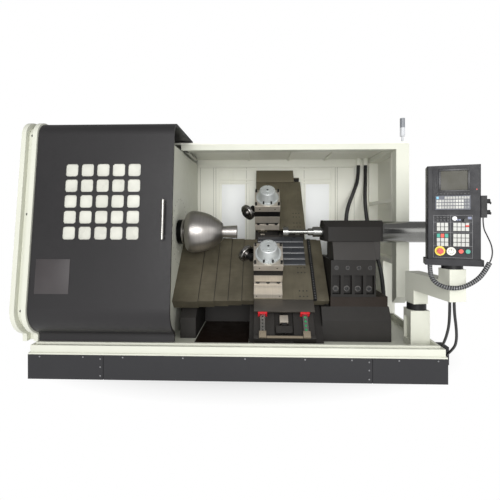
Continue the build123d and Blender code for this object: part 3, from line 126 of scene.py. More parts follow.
class MachineFinishes(bpy.types.PropertyGroup):
    """Colours of the machine's finishes."""
    cream: colour("Cream paint", "Cabinet front, tray and pendant arm", 212, 213, 200)
    # Painted light: the bay paint is the cream paint in a lighter tone, to offset the shade inside the cabinet
    brightened_bay: colour("Bay paint", "Inside of the cabinet", 240, 240, 229)
    door: colour("Door paint", "Dark metallic sliding door", 38, 37, 38)
    plinth: colour("Plinth paint", "Dark base", 46, 46, 48)
    pane: colour("Panes", "Windows of the door", 204, 204, 194)
    plate: colour("Wall plates", "Pale plates of the back wall", 250, 252, 252)
    seam: colour("Seams", "Shade in the back wall's seams", 172, 172, 160)
    plate_dark: colour("Bare plate", "Blank name plate on the door", 58, 54, 55)
    olive: colour("Oiled sheet", "Telescopic covers and slide plates", 104, 98, 82)
    ground: colour("Ground steel", "Turret plates", 190, 182, 169)
    cast: colour("Cast iron", "Bed and saddle", 46, 44, 42)
    tail: colour("Tailstock paint", "Tailstock casting", 33, 31, 29)
    brown: colour("Oiled way", "Bed and way", 37, 28, 21)
    # Dark tray floor: oil and swarf, with painted shade under the bed and carriage
    grime_and_shade: colour("Chip pan", "Oily floor under the bed", 38, 28, 22)
    seal: colour("Seals", "Rail seals", 200, 30, 40)
    cap: colour("Rail caps", "Plugs in the rail's holes", 40, 150, 90)
    foot: colour("Foot blocks", "Stops at the foot of the rails", 126, 116, 100)
    dome: colour("Dome", "Turret caps", 205, 209, 208)
    neck: colour("Rough neck", "Bare casting of the tailstock's neck", 60, 58, 56)
    pendant: colour("Pendant", "Operator pendant case", 36, 36, 39)
    screen: colour("Screen", "Pendant display", 58, 56, 44)
    keys: colour("Keys", "Pendant keys", 190, 190, 184)
    keypad: colour("Keypad", "Panel under the small keys", 74, 77, 88)
    grey_keys: colour("Grey keys", "Middle keys of the keypad", 168, 168, 164)
    side_keys: colour("Side keys", "Right keys of the keypad", 122, 124, 126)
    blue_key: colour("Blue key", "First key of the keypad", 120, 182, 212)
    dial: colour("Dial", "Feed dial", 222, 220, 208)
    button_red: colour("Button red", "Stop button and red keys", 222, 66, 48)
    stop_red: colour("Red", "Emergency stop and stop button", 196, 48, 42)
    start_green: colour("Green", "Start button", 40, 150, 130)
    ring_yellow: colour("Yellow", "Emergency stop ring", 240, 212, 60)


class MachineFittings(bpy.types.PropertyGroup):
    """Sizes of the added fittings."""
    screw: length("Panel screw", "Radius of a sheet-metal screw head", 0.006)
    cable: length("Cable", "Diameter of the supply cables", 0.019)
    conduit: length("Conduit", "Diameter of the corrugated conduits", 0.040)
    curl: length("Curly cord", "Outer diameter of the curly cord", 0.030)
    hand_cord: length("Hand cord", "Diameter of the hand unit's straight cord", 0.008)


class MachineStage(bpy.types.PropertyGroup):
    """Camera and light of the studio."""
    eye: bpy.props.FloatVectorProperty(
        name="Eye", description="Camera place", subtype="TRANSLATION", unit="LENGTH", default=(0.205, -3.518, 1.190))
    yaw: number("Yaw", "Turn to the left", math.radians(1.86), subtype="ANGLE")
    shift: number("Shift", "Lens shift upwards, in sensor widths", -0.06)
    lens: number("Lens", "Focal length", 26.64, min=1, unit="CAMERA")
    key: number("Key", "Key light in watts", 12, min=0)
    fill: number("Fill", "Fill light in watts", 26, min=0)
    front: number("Front", "Broad front light in watts", 560, min=0)
    sky: number("Sky", "Strength of the light from all round", 0.35, min=0)
    floor: colour("Floor", "Pale floor", 236, 236, 236)


# Materials

# The middle of a noise's values, over which finishes wander
NOISE_LOW, NOISE_HIGH = 0.3, 0.7
PATCH_LOW = 0.35
# Colour sockets of a mix node
MIX_FIRST, MIX_SECOND, MIX_RESULT = 6, 7, 2
WHITE = (1, 1, 1)


def feed(tree, socket, value):
    """Gives a socket a source or a value."""
    if isinstance(value, bpy.types.NodeSocket):
        tree.links.new(value, socket)
    elif socket.type == "RGBA":
        socket.default_value = (*value, 1)
    else:
        socket.default_value = value


def add_node(tree, kind, feeds=None, **settings):
    """A node with its settings, and with sources or values by socket."""
    made = tree.nodes.new(kind)
    for key, value in settings.items():
        setattr(made, key, value)
    for key, value in (feeds or {}).items():
        feed(tree, made.inputs[key], value)
    return made


class Finish:
    """A small builder for one procedural material."""

    def __init__(self, name):
        self.material = bpy.data.materials.new(name)
        self.material.use_nodes = True
        self.tree = self.material.node_tree
        self.shader = self.tree.nodes["Principled BSDF"]
        self.place = self.node("ShaderNodeTexCoord").outputs["Object"]

    def node(self, kind, feeds=None, **settings):
        """A node of this material."""
        return add_node(self.tree, kind, feeds, **settings)

    def set(self, **values):
        """Shader sockets by name, with spaces written as underscores."""
        for key, value in values.items():
            feed(self.tree, self.shader.inputs[key.replace("_", " ")], value)
        return self

    def noise(self, scale, stretch=(1, 1, 1), detail=3):
        """A noise value on the piece's own coordinates, in features per metre."""
        mapping = self.node("ShaderNodeMapping", {"Vector": self.place, "Scale": stretch})
        return self.node("ShaderNodeTexNoise", {
            "Vector": mapping.outputs["Vector"], "Scale": scale, "Detail": detail}).outputs["Fac"]

    def ramp(self, value, low, high, start, end):
        """A value from start to end as another goes from low to high."""
        return self.node("ShaderNodeMapRange", {
            "Value": value, "From Min": low, "From Max": high, "To Min": start, "To Max": end}).outputs["Result"]

    def mix(self, value, first, second):
        """A colour between two, by a value."""
        return self.node("ShaderNodeMix", {
            "Factor": value, MIX_FIRST: first, MIX_SECOND: second}, data_type="RGBA").outputs[MIX_RESULT]

    def axis(self, name):
        """One coordinate of the piece."""
        return self.node("ShaderNodeSeparateXYZ", {"Vector": self.place}).outputs[name]

    def along(self, frame, column):
        """The distance of a point along one axis of a frame."""
        step = self.node("ShaderNodeVectorMath", {0: self.place, 1: frame.translation}, operation="SUBTRACT")
        return self.node("ShaderNodeVectorMath", {
            0: step.outputs["Vector"], 1: frame.col[column][:3]}, operation="DOT_PRODUCT").outputs["Value"]

    def off_plate(self):
        """The distance of a point off the slant plate."""
        return self.along(SLANT, 2)

    def reckon(self, operation, *values):
        """The result of a sum on values or sources."""
        return self.node("ShaderNodeMath", dict(enumerate(values)), operation=operation).outputs[0]

    def band(self, value, low, high):
        """One between two values, and nought outside them."""
        return self.reckon("COMPARE", value, (low + high) / 2, (high - low) / 2)

    def over(self, value, edge):
        """One above an edge, and nought below it."""
        return self.band(value, edge, edge + 10)

    def both(self, first, second):
        """The product of two values."""
        return self.reckon("MULTIPLY", first, second)

    def zoned(self, base, zones):
        """A colour with other tones in chosen zones of the piece."""
        for mask, tone in zones(self) if zones else ():
            base = self.mix(mask, base, tone)
        return base

    def rough(self, value, low, high):
        """Roughness that wanders between two values."""
        return self.set(Roughness=self.ramp(value, NOISE_LOW, NOISE_HIGH, low, high))

    def bump(self, value, metres):
        """Relief of so many metres by a value."""
        relief = self.node("ShaderNodeBump", {"Height": value, "Distance": metres})
        return self.set(Normal=relief.outputs["Normal"])


def shade(tone, factor):
    """A colour made lighter or darker."""
    return tuple(min(1, channel * factor) for channel in tone)


def paint(name, tone, rough=0.42, relief=0.00012, spread=0.03, dirt=0.05, zones=None):
    """Sprayed paint: orange peel, slight fading and a little dirt in broad patches."""
    finish = Finish(name).set(Specular_IOR_Level=0.25)
    broad = finish.noise(1.6, detail=5)
    fine = finish.noise(900, detail=2)
    clean = shade(tone, 1 + spread)
    base = finish.mix(finish.ramp(broad, PATCH_LOW, NOISE_HIGH, 0, 1), shade(tone, 1 - dirt), clean)
    base = finish.mix(finish.ramp(fine, NOISE_LOW, NOISE_HIGH, 0, 0.25), base, clean)
    finish.set(Base_Color=finish.zoned(base, zones))
    finish.rough(finish.noise(14), rough - 0.07, rough + 0.1)
    return finish.bump(fine, relief).material


def speckled_paint(name, tone):
    """Dark metallic paint with a fine fleck and a soft sheen."""
    finish = Finish(name).set(Metallic=0.15, Specular_IOR_Level=0.3, Coat_Weight=0.08, Coat_Roughness=0.3)
    fleck = finish.noise(650, detail=2)
    broad = finish.noise(1.2, detail=4)
    base = finish.mix(finish.ramp(broad, NOISE_LOW, NOISE_HIGH, 0, 1), shade(tone, 0.85), shade(tone, 1.15))
    finish.set(Base_Color=finish.mix(finish.ramp(fleck, 0.5, 0.75, 0, 0.5), base, shade(tone, 2.2)))
    finish.rough(finish.noise(30), 0.4, 0.52)
    return finish.bump(fleck, 0.0002).material


def steel(name, tone, rough, stretch=(1, 1, 1), lines=400, metal=1.0, stain=0.12, relief=0.00004, zones=None):
    """Machined metal: tool lines along one way, and faint oil stains."""
    finish = Finish(name).set(Metallic=metal)
    cut = finish.noise(lines, stretch, 2)
    patch = finish.ramp(finish.noise(7, detail=6), PATCH_LOW, NOISE_HIGH, 0, 1)
    base = finish.zoned(finish.mix(patch, shade(tone, 1 + stain / 2), shade(tone, 1 - stain)), zones)
    finish.set(Base_Color=finish.mix(finish.ramp(cut, NOISE_LOW, NOISE_HIGH, 0, 0.14), base, (0, 0, 0)))
    finish.rough(cut, rough - 0.05, rough + 0.1)
    return finish.bump(cut, relief).material


def cast(name, tone, relief=0.0012, rough=0.6, zones=None):
    """Painted casting: pitted skin with broad oil marks."""
    finish = Finish(name).set(Specular_IOR_Level=0.25)
    skin = finish.noise(160, detail=6)
    broad = finish.noise(3, detail=5)
    base = finish.mix(finish.ramp(broad, PATCH_LOW, NOISE_HIGH, 0, 1), shade(tone, 0.8), shade(tone, 1.25))
    base = finish.zoned(base, zones)
    finish.set(Base_Color=finish.mix(finish.ramp(skin, 0.5, 0.8, 0, 0.12), base, shade(tone, 4)))
    finish.rough(broad, rough - 0.12, rough + 0.1)
    return finish.bump(skin, relief).material


def moulded(name, tone, rough=0.45, relief=0.00008, zones=None):
    """Moulded plastic or rubber with a fine grain."""
    finish = Finish(name)
    fine = finish.noise(1500, detail=2)
    broad = finish.noise(9, detail=4)
    base = finish.mix(finish.ramp(broad, NOISE_LOW, NOISE_HIGH, 0, 1), shade(tone, 0.9), shade(tone, 1.1))
    finish.set(Base_Color=finish.zoned(base, zones))
    finish.rough(broad, rough - 0.06, rough + 0.08)
    return finish.bump(fine, relief).material


# Mesh building


def on_circle(count, radius, phase=0.0):
    """Offsets of even spots round a circle."""
    angles = [2 * math.pi * (number + phase) / count for number in range(count)]
    return [(radius * math.cos(angle), radius * math.sin(angle)) for angle in angles]


class Shape:
    """One mesh made of bevelled blocks, turned bars and swept rings, in a chosen frame."""

    def __init__(self, place=None):
        self.mesh = bmesh.new()
        self.place = place or Matrix.Identity(4)

    def block(self, low, high, bevel=0.001):
        """A box between two corners, with rounded edges."""
        low, high = Vector(low), Vector(high)
        size = high - low
        matrix = self.place @ Matrix.Translation((low + high) / 2) @ Matrix.Diagonal((*size, 1))
        made = bmesh.ops.create_cube(self.mesh, size=1, matrix=matrix)
        bevel = min(bevel, min(size) * 0.4)
        if bevel:
            edges = list({edge for vert in made["verts"] for edge in vert.link_edges})
            bmesh.ops.bevel(self.mesh, geom=edges, offset=bevel, segments=2, affect="EDGES", profile=0.5)
        return self

    def tile(self, x, z, width, height, face, stand, sunk=0.001, bevel=0.0):
        """A block that stands out of an upright face, about a centre."""
        low = (x - width / 2, face - stand, z - height / 2)
        return self.block(low, (x + width / 2, face + sunk, z + height / 2), bevel)

    def rim(self, across, up, depth, width):
        """Four strips round an upright rectangle."""
        (left, right), (low, high), (front, back) = across, up, depth
        for x0, x1, z0, z1 in (
            (left, right, low, low + width), (left, right, high - width, high),
            (left, left + width, low + width, high - width), (right - width, right, low + width, high - width),
        ):
            self.block((x0, front, z0), (x1, back, z1), 0.002)
        return self

    def _rings(self, start, axis, profile, steps):
        """Rings of points about an axis, for (height, radius) pairs."""
        turn = Vector(axis).normalized().to_track_quat("Z", "Y").to_matrix().to_4x4()
        matrix = self.place @ Matrix.Translation(start) @ turn
        return [
            [self.mesh.verts.new(matrix @ Vector((*spot, height))) for spot in on_circle(steps, radius)]
            for height, radius in profile
        ]

    def skin(self, rings, closed=False):
        """Faces from ring to ring, back to the first one or with a cap at each end."""
        for lower, upper in zip(rings, rings[1:] + rings[:1] if closed else rings[1:]):
            for step in range(len(lower)):
                after = (step + 1) % len(lower)
                self.mesh.faces.new((lower[step], lower[after], upper[after], upper[step]))
        if not closed:
            self.mesh.faces.new(list(reversed(rings[0])))
            self.mesh.faces.new(rings[-1])
        return self

    def turn(self, start, axis, profile, steps=32):
        """A profile of (height, radius) pairs turned about an axis, closed at both ends."""
        return self.skin(self._rings(start, axis, profile, steps))

    def bar(self, start, axis, radius, height, edge=0.0008, steps=24):
        """A round bar with a small chamfer at each end."""
        edge = min(edge, radius * 0.4, abs(height) * 0.4)
        return self.turn(start, axis, [
            (0, radius - edge), (edge, radius), (height - edge, radius), (height, radius - edge)], steps)

    def bars(self, starts, axis, radius, height, steps=24):
        """Bars of one size at many places."""
        for start in starts:
            self.bar(start, axis, radius, height, steps=steps)
        return self

    def ring(self, start, axis, outer, inner, height, steps=32):
        """A flat washer."""
        loop = [(0, inner), (0, outer), (height, outer), (height, inner)]
        return self.skin(self._rings(start, axis, loop, steps), closed=True)

    def socket_screw(self, seat, axis, radius, height):
        """A cap screw with a hexagon socket."""
        self.ring(seat, axis, radius, radius * 0.5, height, 20)
        return self.turn(seat, axis, [(0, radius * 0.5), (height * 0.4, radius * 0.5)], 6)

    def sweep(self, points, radii, steps=12):
        """A round tube through close points, with a radius for each."""
        rings = []
        last_side = None
        for index, point in enumerate(points):
            ahead = points[min(index + 1, len(points) - 1)] - points[max(index - 1, 0)]
            ahead.normalize()
            side = ahead.cross(Vector(UP))
            if side.length < 0.05:
                side = ahead.cross(Vector(ALONG))
            side.normalize()
            if last_side and side.dot(last_side) < 0:
                side = -side
            last_side = side
            lift = side.cross(ahead)
            rings.append([
                self.mesh.verts.new(self.place @ (point + radii[index] * (side * across + lift * up)))
                for across, up in on_circle(steps, 1)
            ])
        return self.skin(rings)

    def finish(self, name, material, body, slot, smooth=35):
        """The mesh as a named piece that rides on a body, if one is named."""
        bmesh.ops.recalc_face_normals(self.mesh, faces=self.mesh.faces)
        data = bpy.data.meshes.new(name)
        self.mesh.to_mesh(data)
        self.mesh.free()
        piece = bpy.data.objects.new(name, data)
        bpy.context.scene.collection.objects.link(piece)
        data.materials.append(material)
        data.shade_smooth()
        data.set_sharp_from_angle(angle=math.radians(smooth))
        if body:
            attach(piece, body)
        return piece


# Vertices closer than this are one, and sharper edges than this angle are rounded
WELD_GAP = 0.00002
EDGE_ANGLE = math.radians(40)
# A place well in front of the machine
FAR_FRONT = -3


def dress(material, *names, soft=0.0):
    """Gives CAD pieces a finish, and rounded edges where they are asked for."""
    for name in names:
        node = NODES[name]
        node.data.materials.clear()
        node.data.materials.append(material)
        if soft:
            weld = node.modifiers.new("weld", "WELD")
            weld.merge_threshold = WELD_GAP
            bevel = node.modifiers.new("edges", "BEVEL")
            bevel.width = soft
            bevel.segments = 2
            bevel.limit_method = "ANGLE"
            bevel.angle_limit = EDGE_ANGLE
            weighted = node.modifiers.new("normals", "WEIGHTED_NORMAL")
            weighted.keep_sharp = True


def front_of(name, x, z):
    """The place and normal of a CAD piece's front face, met from the operator's side."""
    tree = BVHTree.FromObject(NODES[name], bpy.context.evaluated_depsgraph_get())
    place, normal, _, _ = tree.ray_cast(Vector((x, FAR_FRONT, z)), Vector((0, 1, 0)))
    return place, normal


# Cords

LEFT_CABLE = [
    (1.492, -0.937, 0.640), (1.492, -0.937, 0.560), (1.510, -0.890, 0.450),
    (1.535, -0.800, 0.345), (1.562, -0.700, 0.260), (1.584, -0.600, 0.190),
]
RIGHT_CABLE = [
    (1.522, -0.937, 0.640), (1.522, -0.937, 0.560), (1.552, -0.905, 0.450),
    (1.592, -0.835, 0.340), (1.626, -0.735, 0.240), (1.624, -0.620, 0.150),
]
CURLY_CORD = [
    (-0.142, -0.048, 0.885), (-0.142, -0.048, 0.825), (-0.118, -0.080, 0.768), (-0.050, -0.104, 0.738),
    (0.034, -0.108, 0.742), (0.106, -0.106, 0.782), (0.165, -0.102, 0.840), (0.200, -0.096, 0.915),
]
HAND_CORD = [
    (0.200, -0.096, 0.915), (0.2175, -0.093, 0.9525), (0.220, -0.070, 1.020),
    (0.199, -0.045, 1.085), (0.177, -0.035, 1.140), (0.177, -0.035, 1.205),
]
LEFT_CONDUIT = [
    (1.300, 0.728, 1.811), (1.300, 0.728, 1.661), (1.225, 0.640, 1.500), (1.130, 0.480, 1.350),
    (1.062, 0.290, 1.222), (1.025, 0.110, 1.112), (1.025, -0.068, 1.112),
]
RIGHT_CONDUIT = [
    (1.380, 0.728, 1.811), (1.380, 0.728, 1.661), (1.345, 0.620, 1.480), (1.300, 0.440, 1.300),
    (1.272, 0.240, 1.120), (1.285, 0.085, 0.920), (1.325, 0.014, 0.730), (1.346, 0.002, 0.540),
    (1.350, 0.000, 0.380), (1.350, 0.000, 0.230),
]


def route_curve(name, points, place=None):
    """A smooth NURBS line with the route's points as its control points."""
    place = place or Matrix.Identity(4)
    data = bpy.data.curves.new(name, "CURVE")
    data.dimensions = "3D"
    data.resolution_u = 24
    spline = data.splines.new("NURBS")
    spline.points.add(len(points) - 1)
    for spot, point in zip(spline.points, points):
        spot.co = (*(place @ Vector(point)), 1)
    spline.order_u = 3
    spline.use_endpoint_u = True
    curve = bpy.data.objects.new(name, data)
    bpy.context.scene.collection.objects.link(curve)
    return curve


def line_points(curve):
    """The points of a curve's own line."""
    mesh = bpy.data.meshes.new_from_object(curve.evaluated_get(bpy.context.evaluated_depsgraph_get()))
    points = [vertex.co.copy() for vertex in mesh.vertices]
    bpy.data.meshes.remove(mesh)
    return points


def run_length(points):
    """The length along close points."""
    return sum((after - before).length for before, after in zip(points, points[1:]))


def at_length(points, distance):
    """The place on close points at a distance from their start."""
    for before, after in zip(points, points[1:]):
        step = (after - before).length
        if distance <= step:
            return before.lerp(after, distance / step)
        distance -= step
    return points[-1].copy()


def measured_line(name, points):
    """The close points of a route, and the length along them."""
    curve = route_curve(name + "_line", points)
    line = line_points(curve)
    bpy.data.objects.remove(curve)
    return line, run_length(line)


def pendant_cord(name, points, diameter, material, node):
    """A smooth round cord on the pendant."""
    curve = route_curve(name, points, PENDANT)
    line = line_points(curve)
    curve.data.bevel_depth = diameter / 2
    curve.data.bevel_resolution = 6
    curve.data.use_fill_caps = True
    curve.data.materials.append(material)
    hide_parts(node)
    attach(curve, "pendant")


# Radii round one rib of a hose, as shares of the full one
HOSE_RIBS = (1, 1, 0.88, 0.88)
RIB_PITCH = 0.011
CABLE_STEPS = 60


def swept_cord(name, points, diameter, material, body, node, ribbed=False):
    """A cord swept in even steps along its route, ribbed or smooth."""
    line, total = measured_line(name, points)
    ribs = HOSE_RIBS if ribbed else (1,)
    count = int(total / RIB_PITCH * len(ribs)) if ribbed else CABLE_STEPS
    spots = [at_length(line, total * index / count) for index in range(count + 1)]
    radii = [diameter / 2 * ribs[index % len(ribs)] for index in range(count + 1)]
    tube = Shape().sweep(spots, radii, 16).finish(name, material, body, "black_rubber")
    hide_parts(node)
    return tube, spots


def settings(context):
    """The scene's finishes and fittings."""
    return context.scene.machine_finishes, context.scene.machine_fittings


def operator(idname, label):
    """Sets an operator's names."""
    def mark(cls):
        cls.bl_idname = idname
        cls.bl_label = label
        cls.bl_options = {"REGISTER", "UNDO"}
        return cls
    return mark


# Cabinet

WALL_FACE = 0.7655
# Framed panels of the back wall as left, right, low and high
WALL_FRAMES = ((-0.293, 1.009, 1.648, 1.782), (-0.293, 0.060, 0.700, 1.630), (0.655, 1.009, 0.700, 1.630))
WALL_PLATES = ((-0.262, 0.008, 0.740, 1.602), (0.708, 0.974, 0.740, 1.602))
WALL_SEAMS = (-0.512, -0.357, -0.330, 0.026, 0.690, 1.046, 1.070, 1.262)
PARTITION_FACE = -0.529
PARTITION_SCREW_HEIGHTS = (0.62, 0.86, 1.42, 1.66)
# Count and radius of the screws round the spindle hole
HOLE_CIRCLE = (28, 0.29)
PLINTH_FRONT = -0.8
# Plinth screws along its top edge, and at the seams of its panels
PLINTH_SCREWS = [(x, 0.168) for x in (-1.46, -1.13, -0.83, -0.38, 0.08, 0.52, 0.86, 1.20, 1.48)]
PLINTH_SCREWS += [(x, z) for x in (-0.9995, 0.9845) for z in (0.03, 0.095, 0.155)]
# Dark patches of the tray floor, across and inwards: oil and swarf, with painted shade under the bed and carriage
PAN_ZONES = (((-0.350, 0.095), (-0.62, 0.60)), ((0.095, 0.700), (-0.62, -0.572)))
PAN_LEVEL = (0.186, 0.189)
CAP_SCREW_X = -1.553
CAP_SCREW_HEIGHTS = (1.835, 1.233, 0.526)


@operator("machine.dress_cabinet", "Cabinet")
class MachineCabinet(bpy.types.Operator):
    """Paint the plinth, tray, walls and end cap"""

    def execute(self, context):
        tone, size = settings(context)
        cream = paint("cream paint", tone.cream)
        # Oil and swarf on the tray floor, with painted shade under the bed and carriage
        tray = paint("tray paint", tone.cream, zones=lambda f: [
            (f.both(f.band(f.axis("Z"), *PAN_LEVEL), f.both(f.band(f.axis("X"), *span), f.band(f.axis("Y"), *reach))),
             tone.grime_and_shade) for span, reach in PAN_ZONES])
        dress(tray, "chip_tray", soft=0.003)
        # Painted light: inside the cabinet the cream paint is lighter to offset the shade there; left of the partition
        # it keeps the plain cream
        brightened_bay = paint("bay paint", tone.brightened_bay, zones=lambda f: [(f.band(f.axis("X"), -2, -0.545), tone.cream)])
        dress(brightened_bay, "cabinet_walls", "ceiling", "partition_wall", soft=0.003)
        dress(cream, "front_frame", soft=0.003)
        dress(cream, "left_end_cap", soft=0.006)
        dress(paint("plinth paint", tone.plinth, rough=0.5), "plinth", soft=0.004)
        dark = moulded("dark steel", srgb(42, 42, 43), 0.4)
        self.back_wall(tone, brightened_bay)

        plinth = Shape().bars([(x, PLINTH_FRONT, z) for x, z in PLINTH_SCREWS], FRONT, size.screw, 0.002)
        plinth.finish("plinth_screws", steel("screw steel", srgb(150, 150, 152), 0.4), "frame", "black_steel")
        heads = Shape()
        for z in CAP_SCREW_HEIGHTS:
            place, normal = front_of("left_end_cap", CAP_SCREW_X, z)
            heads.socket_screw(place, normal, 1.6 * size.screw, 0.004)
        heads.bars([(PARTITION_FACE, -0.66, z) for z in PARTITION_SCREW_HEIGHTS], ALONG, size.screw, 0.002)
        for inward, up in on_circle(*HOLE_CIRCLE):
            heads.bar((PARTITION_FACE, AXIS.y + inward, AXIS.z + up), ALONG, 0.7 * size.screw, 0.0015, steps=12)
        heads.finish("panel_screws", dark, "frame", "black_steel")

        guide = Shape().block((PARTITION_FACE, -0.02, 1.832), (-0.497, 0.50, 1.862), 0.002)
        guide.finish("roof_guide", steel("guide alloy", (0.55, 0.55, 0.54), 0.35), "frame", "dome_aluminium")
        slots = Shape()
        for number in range(6):
            y = 0.02 + 0.08 * number
            slots.block((-0.498, y, 1.841), (-0.496, y + 0.03, 1.853), 0)
        slots.block((PARTITION_FACE, -0.10, 1.826), (-0.489, -0.02, 1.870), 0.004)
        slots.finish("roof_guide_stop", dark, "frame", "black_steel")
        return {"FINISHED"}

    def back_wall(self, tone, brightened_bay):
        """Frames, plates and seams of the back wall."""
        wall = Shape()
        for left, right, low, high in WALL_FRAMES:
            wall.rim((left, right), (low, high), (WALL_FACE - 0.007, WALL_FACE), 0.018)
        wall.block((PARTITION_FACE, WALL_FACE - 0.012, 1.798), (1.423, WALL_FACE, 1.834), 0.003)
        # The frames take the lightened bay paint: painted light against the shade in the bay
        wall.finish("wall_frames", brightened_bay, "frame", "cream_paint")
        plates = Shape()
        for left, right, low, high in WALL_PLATES:
            plates.block((left, WALL_FACE - 0.003, low), (right, WALL_FACE, high))
        plates.finish("wall_plates", paint("plate paint", tone.plate, dirt=0.02, spread=0), "frame", "cream_paint")
        seams = Shape()
        for x in WALL_SEAMS:
            seams.block((x - 0.002, WALL_FACE - 0.0012, 0.66), (x + 0.002, WALL_FACE, 1.797), 0)
        seams.finish("wall_seams", paint("seam shade", tone.seam), "frame", "cream_paint")


# The bare plate's centre line, its ends and half its width
PLATE_X = -1.319
PLATE_HEIGHTS = (0.655, 0.905)
PLATE_HALF = 0.126


@operator("machine.dress_door", "Door")
class MachineDoor(bpy.types.Operator):
    """Finish the sliding door, its panes, its bare plate and its handle"""

    def execute(self, context):
        tone, _ = settings(context)
        dress(speckled_paint("door paint", tone.door), "door")
        dress(moulded("panes", tone.pane, rough=0.3), "door_panes", soft=0.001)
        dress(steel("handle chrome", (0.34, 0.33, 0.31), 0.26), "door_handle")
        low, high = [front_of("door", PLATE_X, z)[0] for z in PLATE_HEIGHTS]
        up = (high - low).normalized()
        across = Vector(ALONG)
        turn = Matrix((across, up.cross(across), up)).transposed().to_4x4()
        half = (high - low).length / 2
        plate = Shape(Matrix.Translation((low + high) / 2) @ turn)
        plate.block((-PLATE_HALF, -0.003, -half), (PLATE_HALF, 0.001, half))
        plate.finish("bare_plate", moulded("plate", tone.plate_dark, 0.5, relief=0), "door", "dark_paint")
        return {"FINISHED"}


# Bed, carriage and turrets, in the slant frame

RAIL_X = (0.2095, 0.5495)
RAIL_TOP = -0.028
SCREW_X = 0.3795
# Lower and upper end of the seals, up the slope, and the lower end of the foot blocks
SEAL_V = (-0.690, -0.675)
FOOT_V = -0.895
# Right edges of the covers that overlap the next one, by their body
COVER_EDGES = {"frame": -0.331, "cover_2": -0.199, "cover_3": -0.083, "cover_4": 0.032}
COVER_STEP = 0.009
# Rows of guide-block screws up the slope, for each slide
GUIDE_ROWS = {"lower_slide": (-0.506, -0.262), "upper_slide": (0.291, 0.430)}
CHAIN_LINKS = 27
CHAIN_PITCH = 0.025
CHAIN_FOOT = -0.545
BEARING_PROFILE = (
    (0, 0.024), (0, 0.036), (0.018, 0.036), (0.022, 0.033), (0.022, 0.022), (0.034, 0.022), (0.034, 0.017))
# Ends of the bellows up the slope, and one fold as shares of its pitch and rises
BELLOWS_V = (-0.2065, 0.1425)
BELLOWS_HALF = 0.2145
FOLDS = 5
FOLD_PROFILE = ((0.02, 0.004), (0.10, 0.012), (0.30, 0.018), (0.62, 0.0225), (0.90, 0.021), (0.97, 0.011))
TURRETS = {"lower": -0.340, "upper": 0.340}
TURRET_X = 0.255
TURRET_HALF = 0.1175
HEAD_TOP = 0.309
DOME_TOP = HEAD_TOP + 0.103


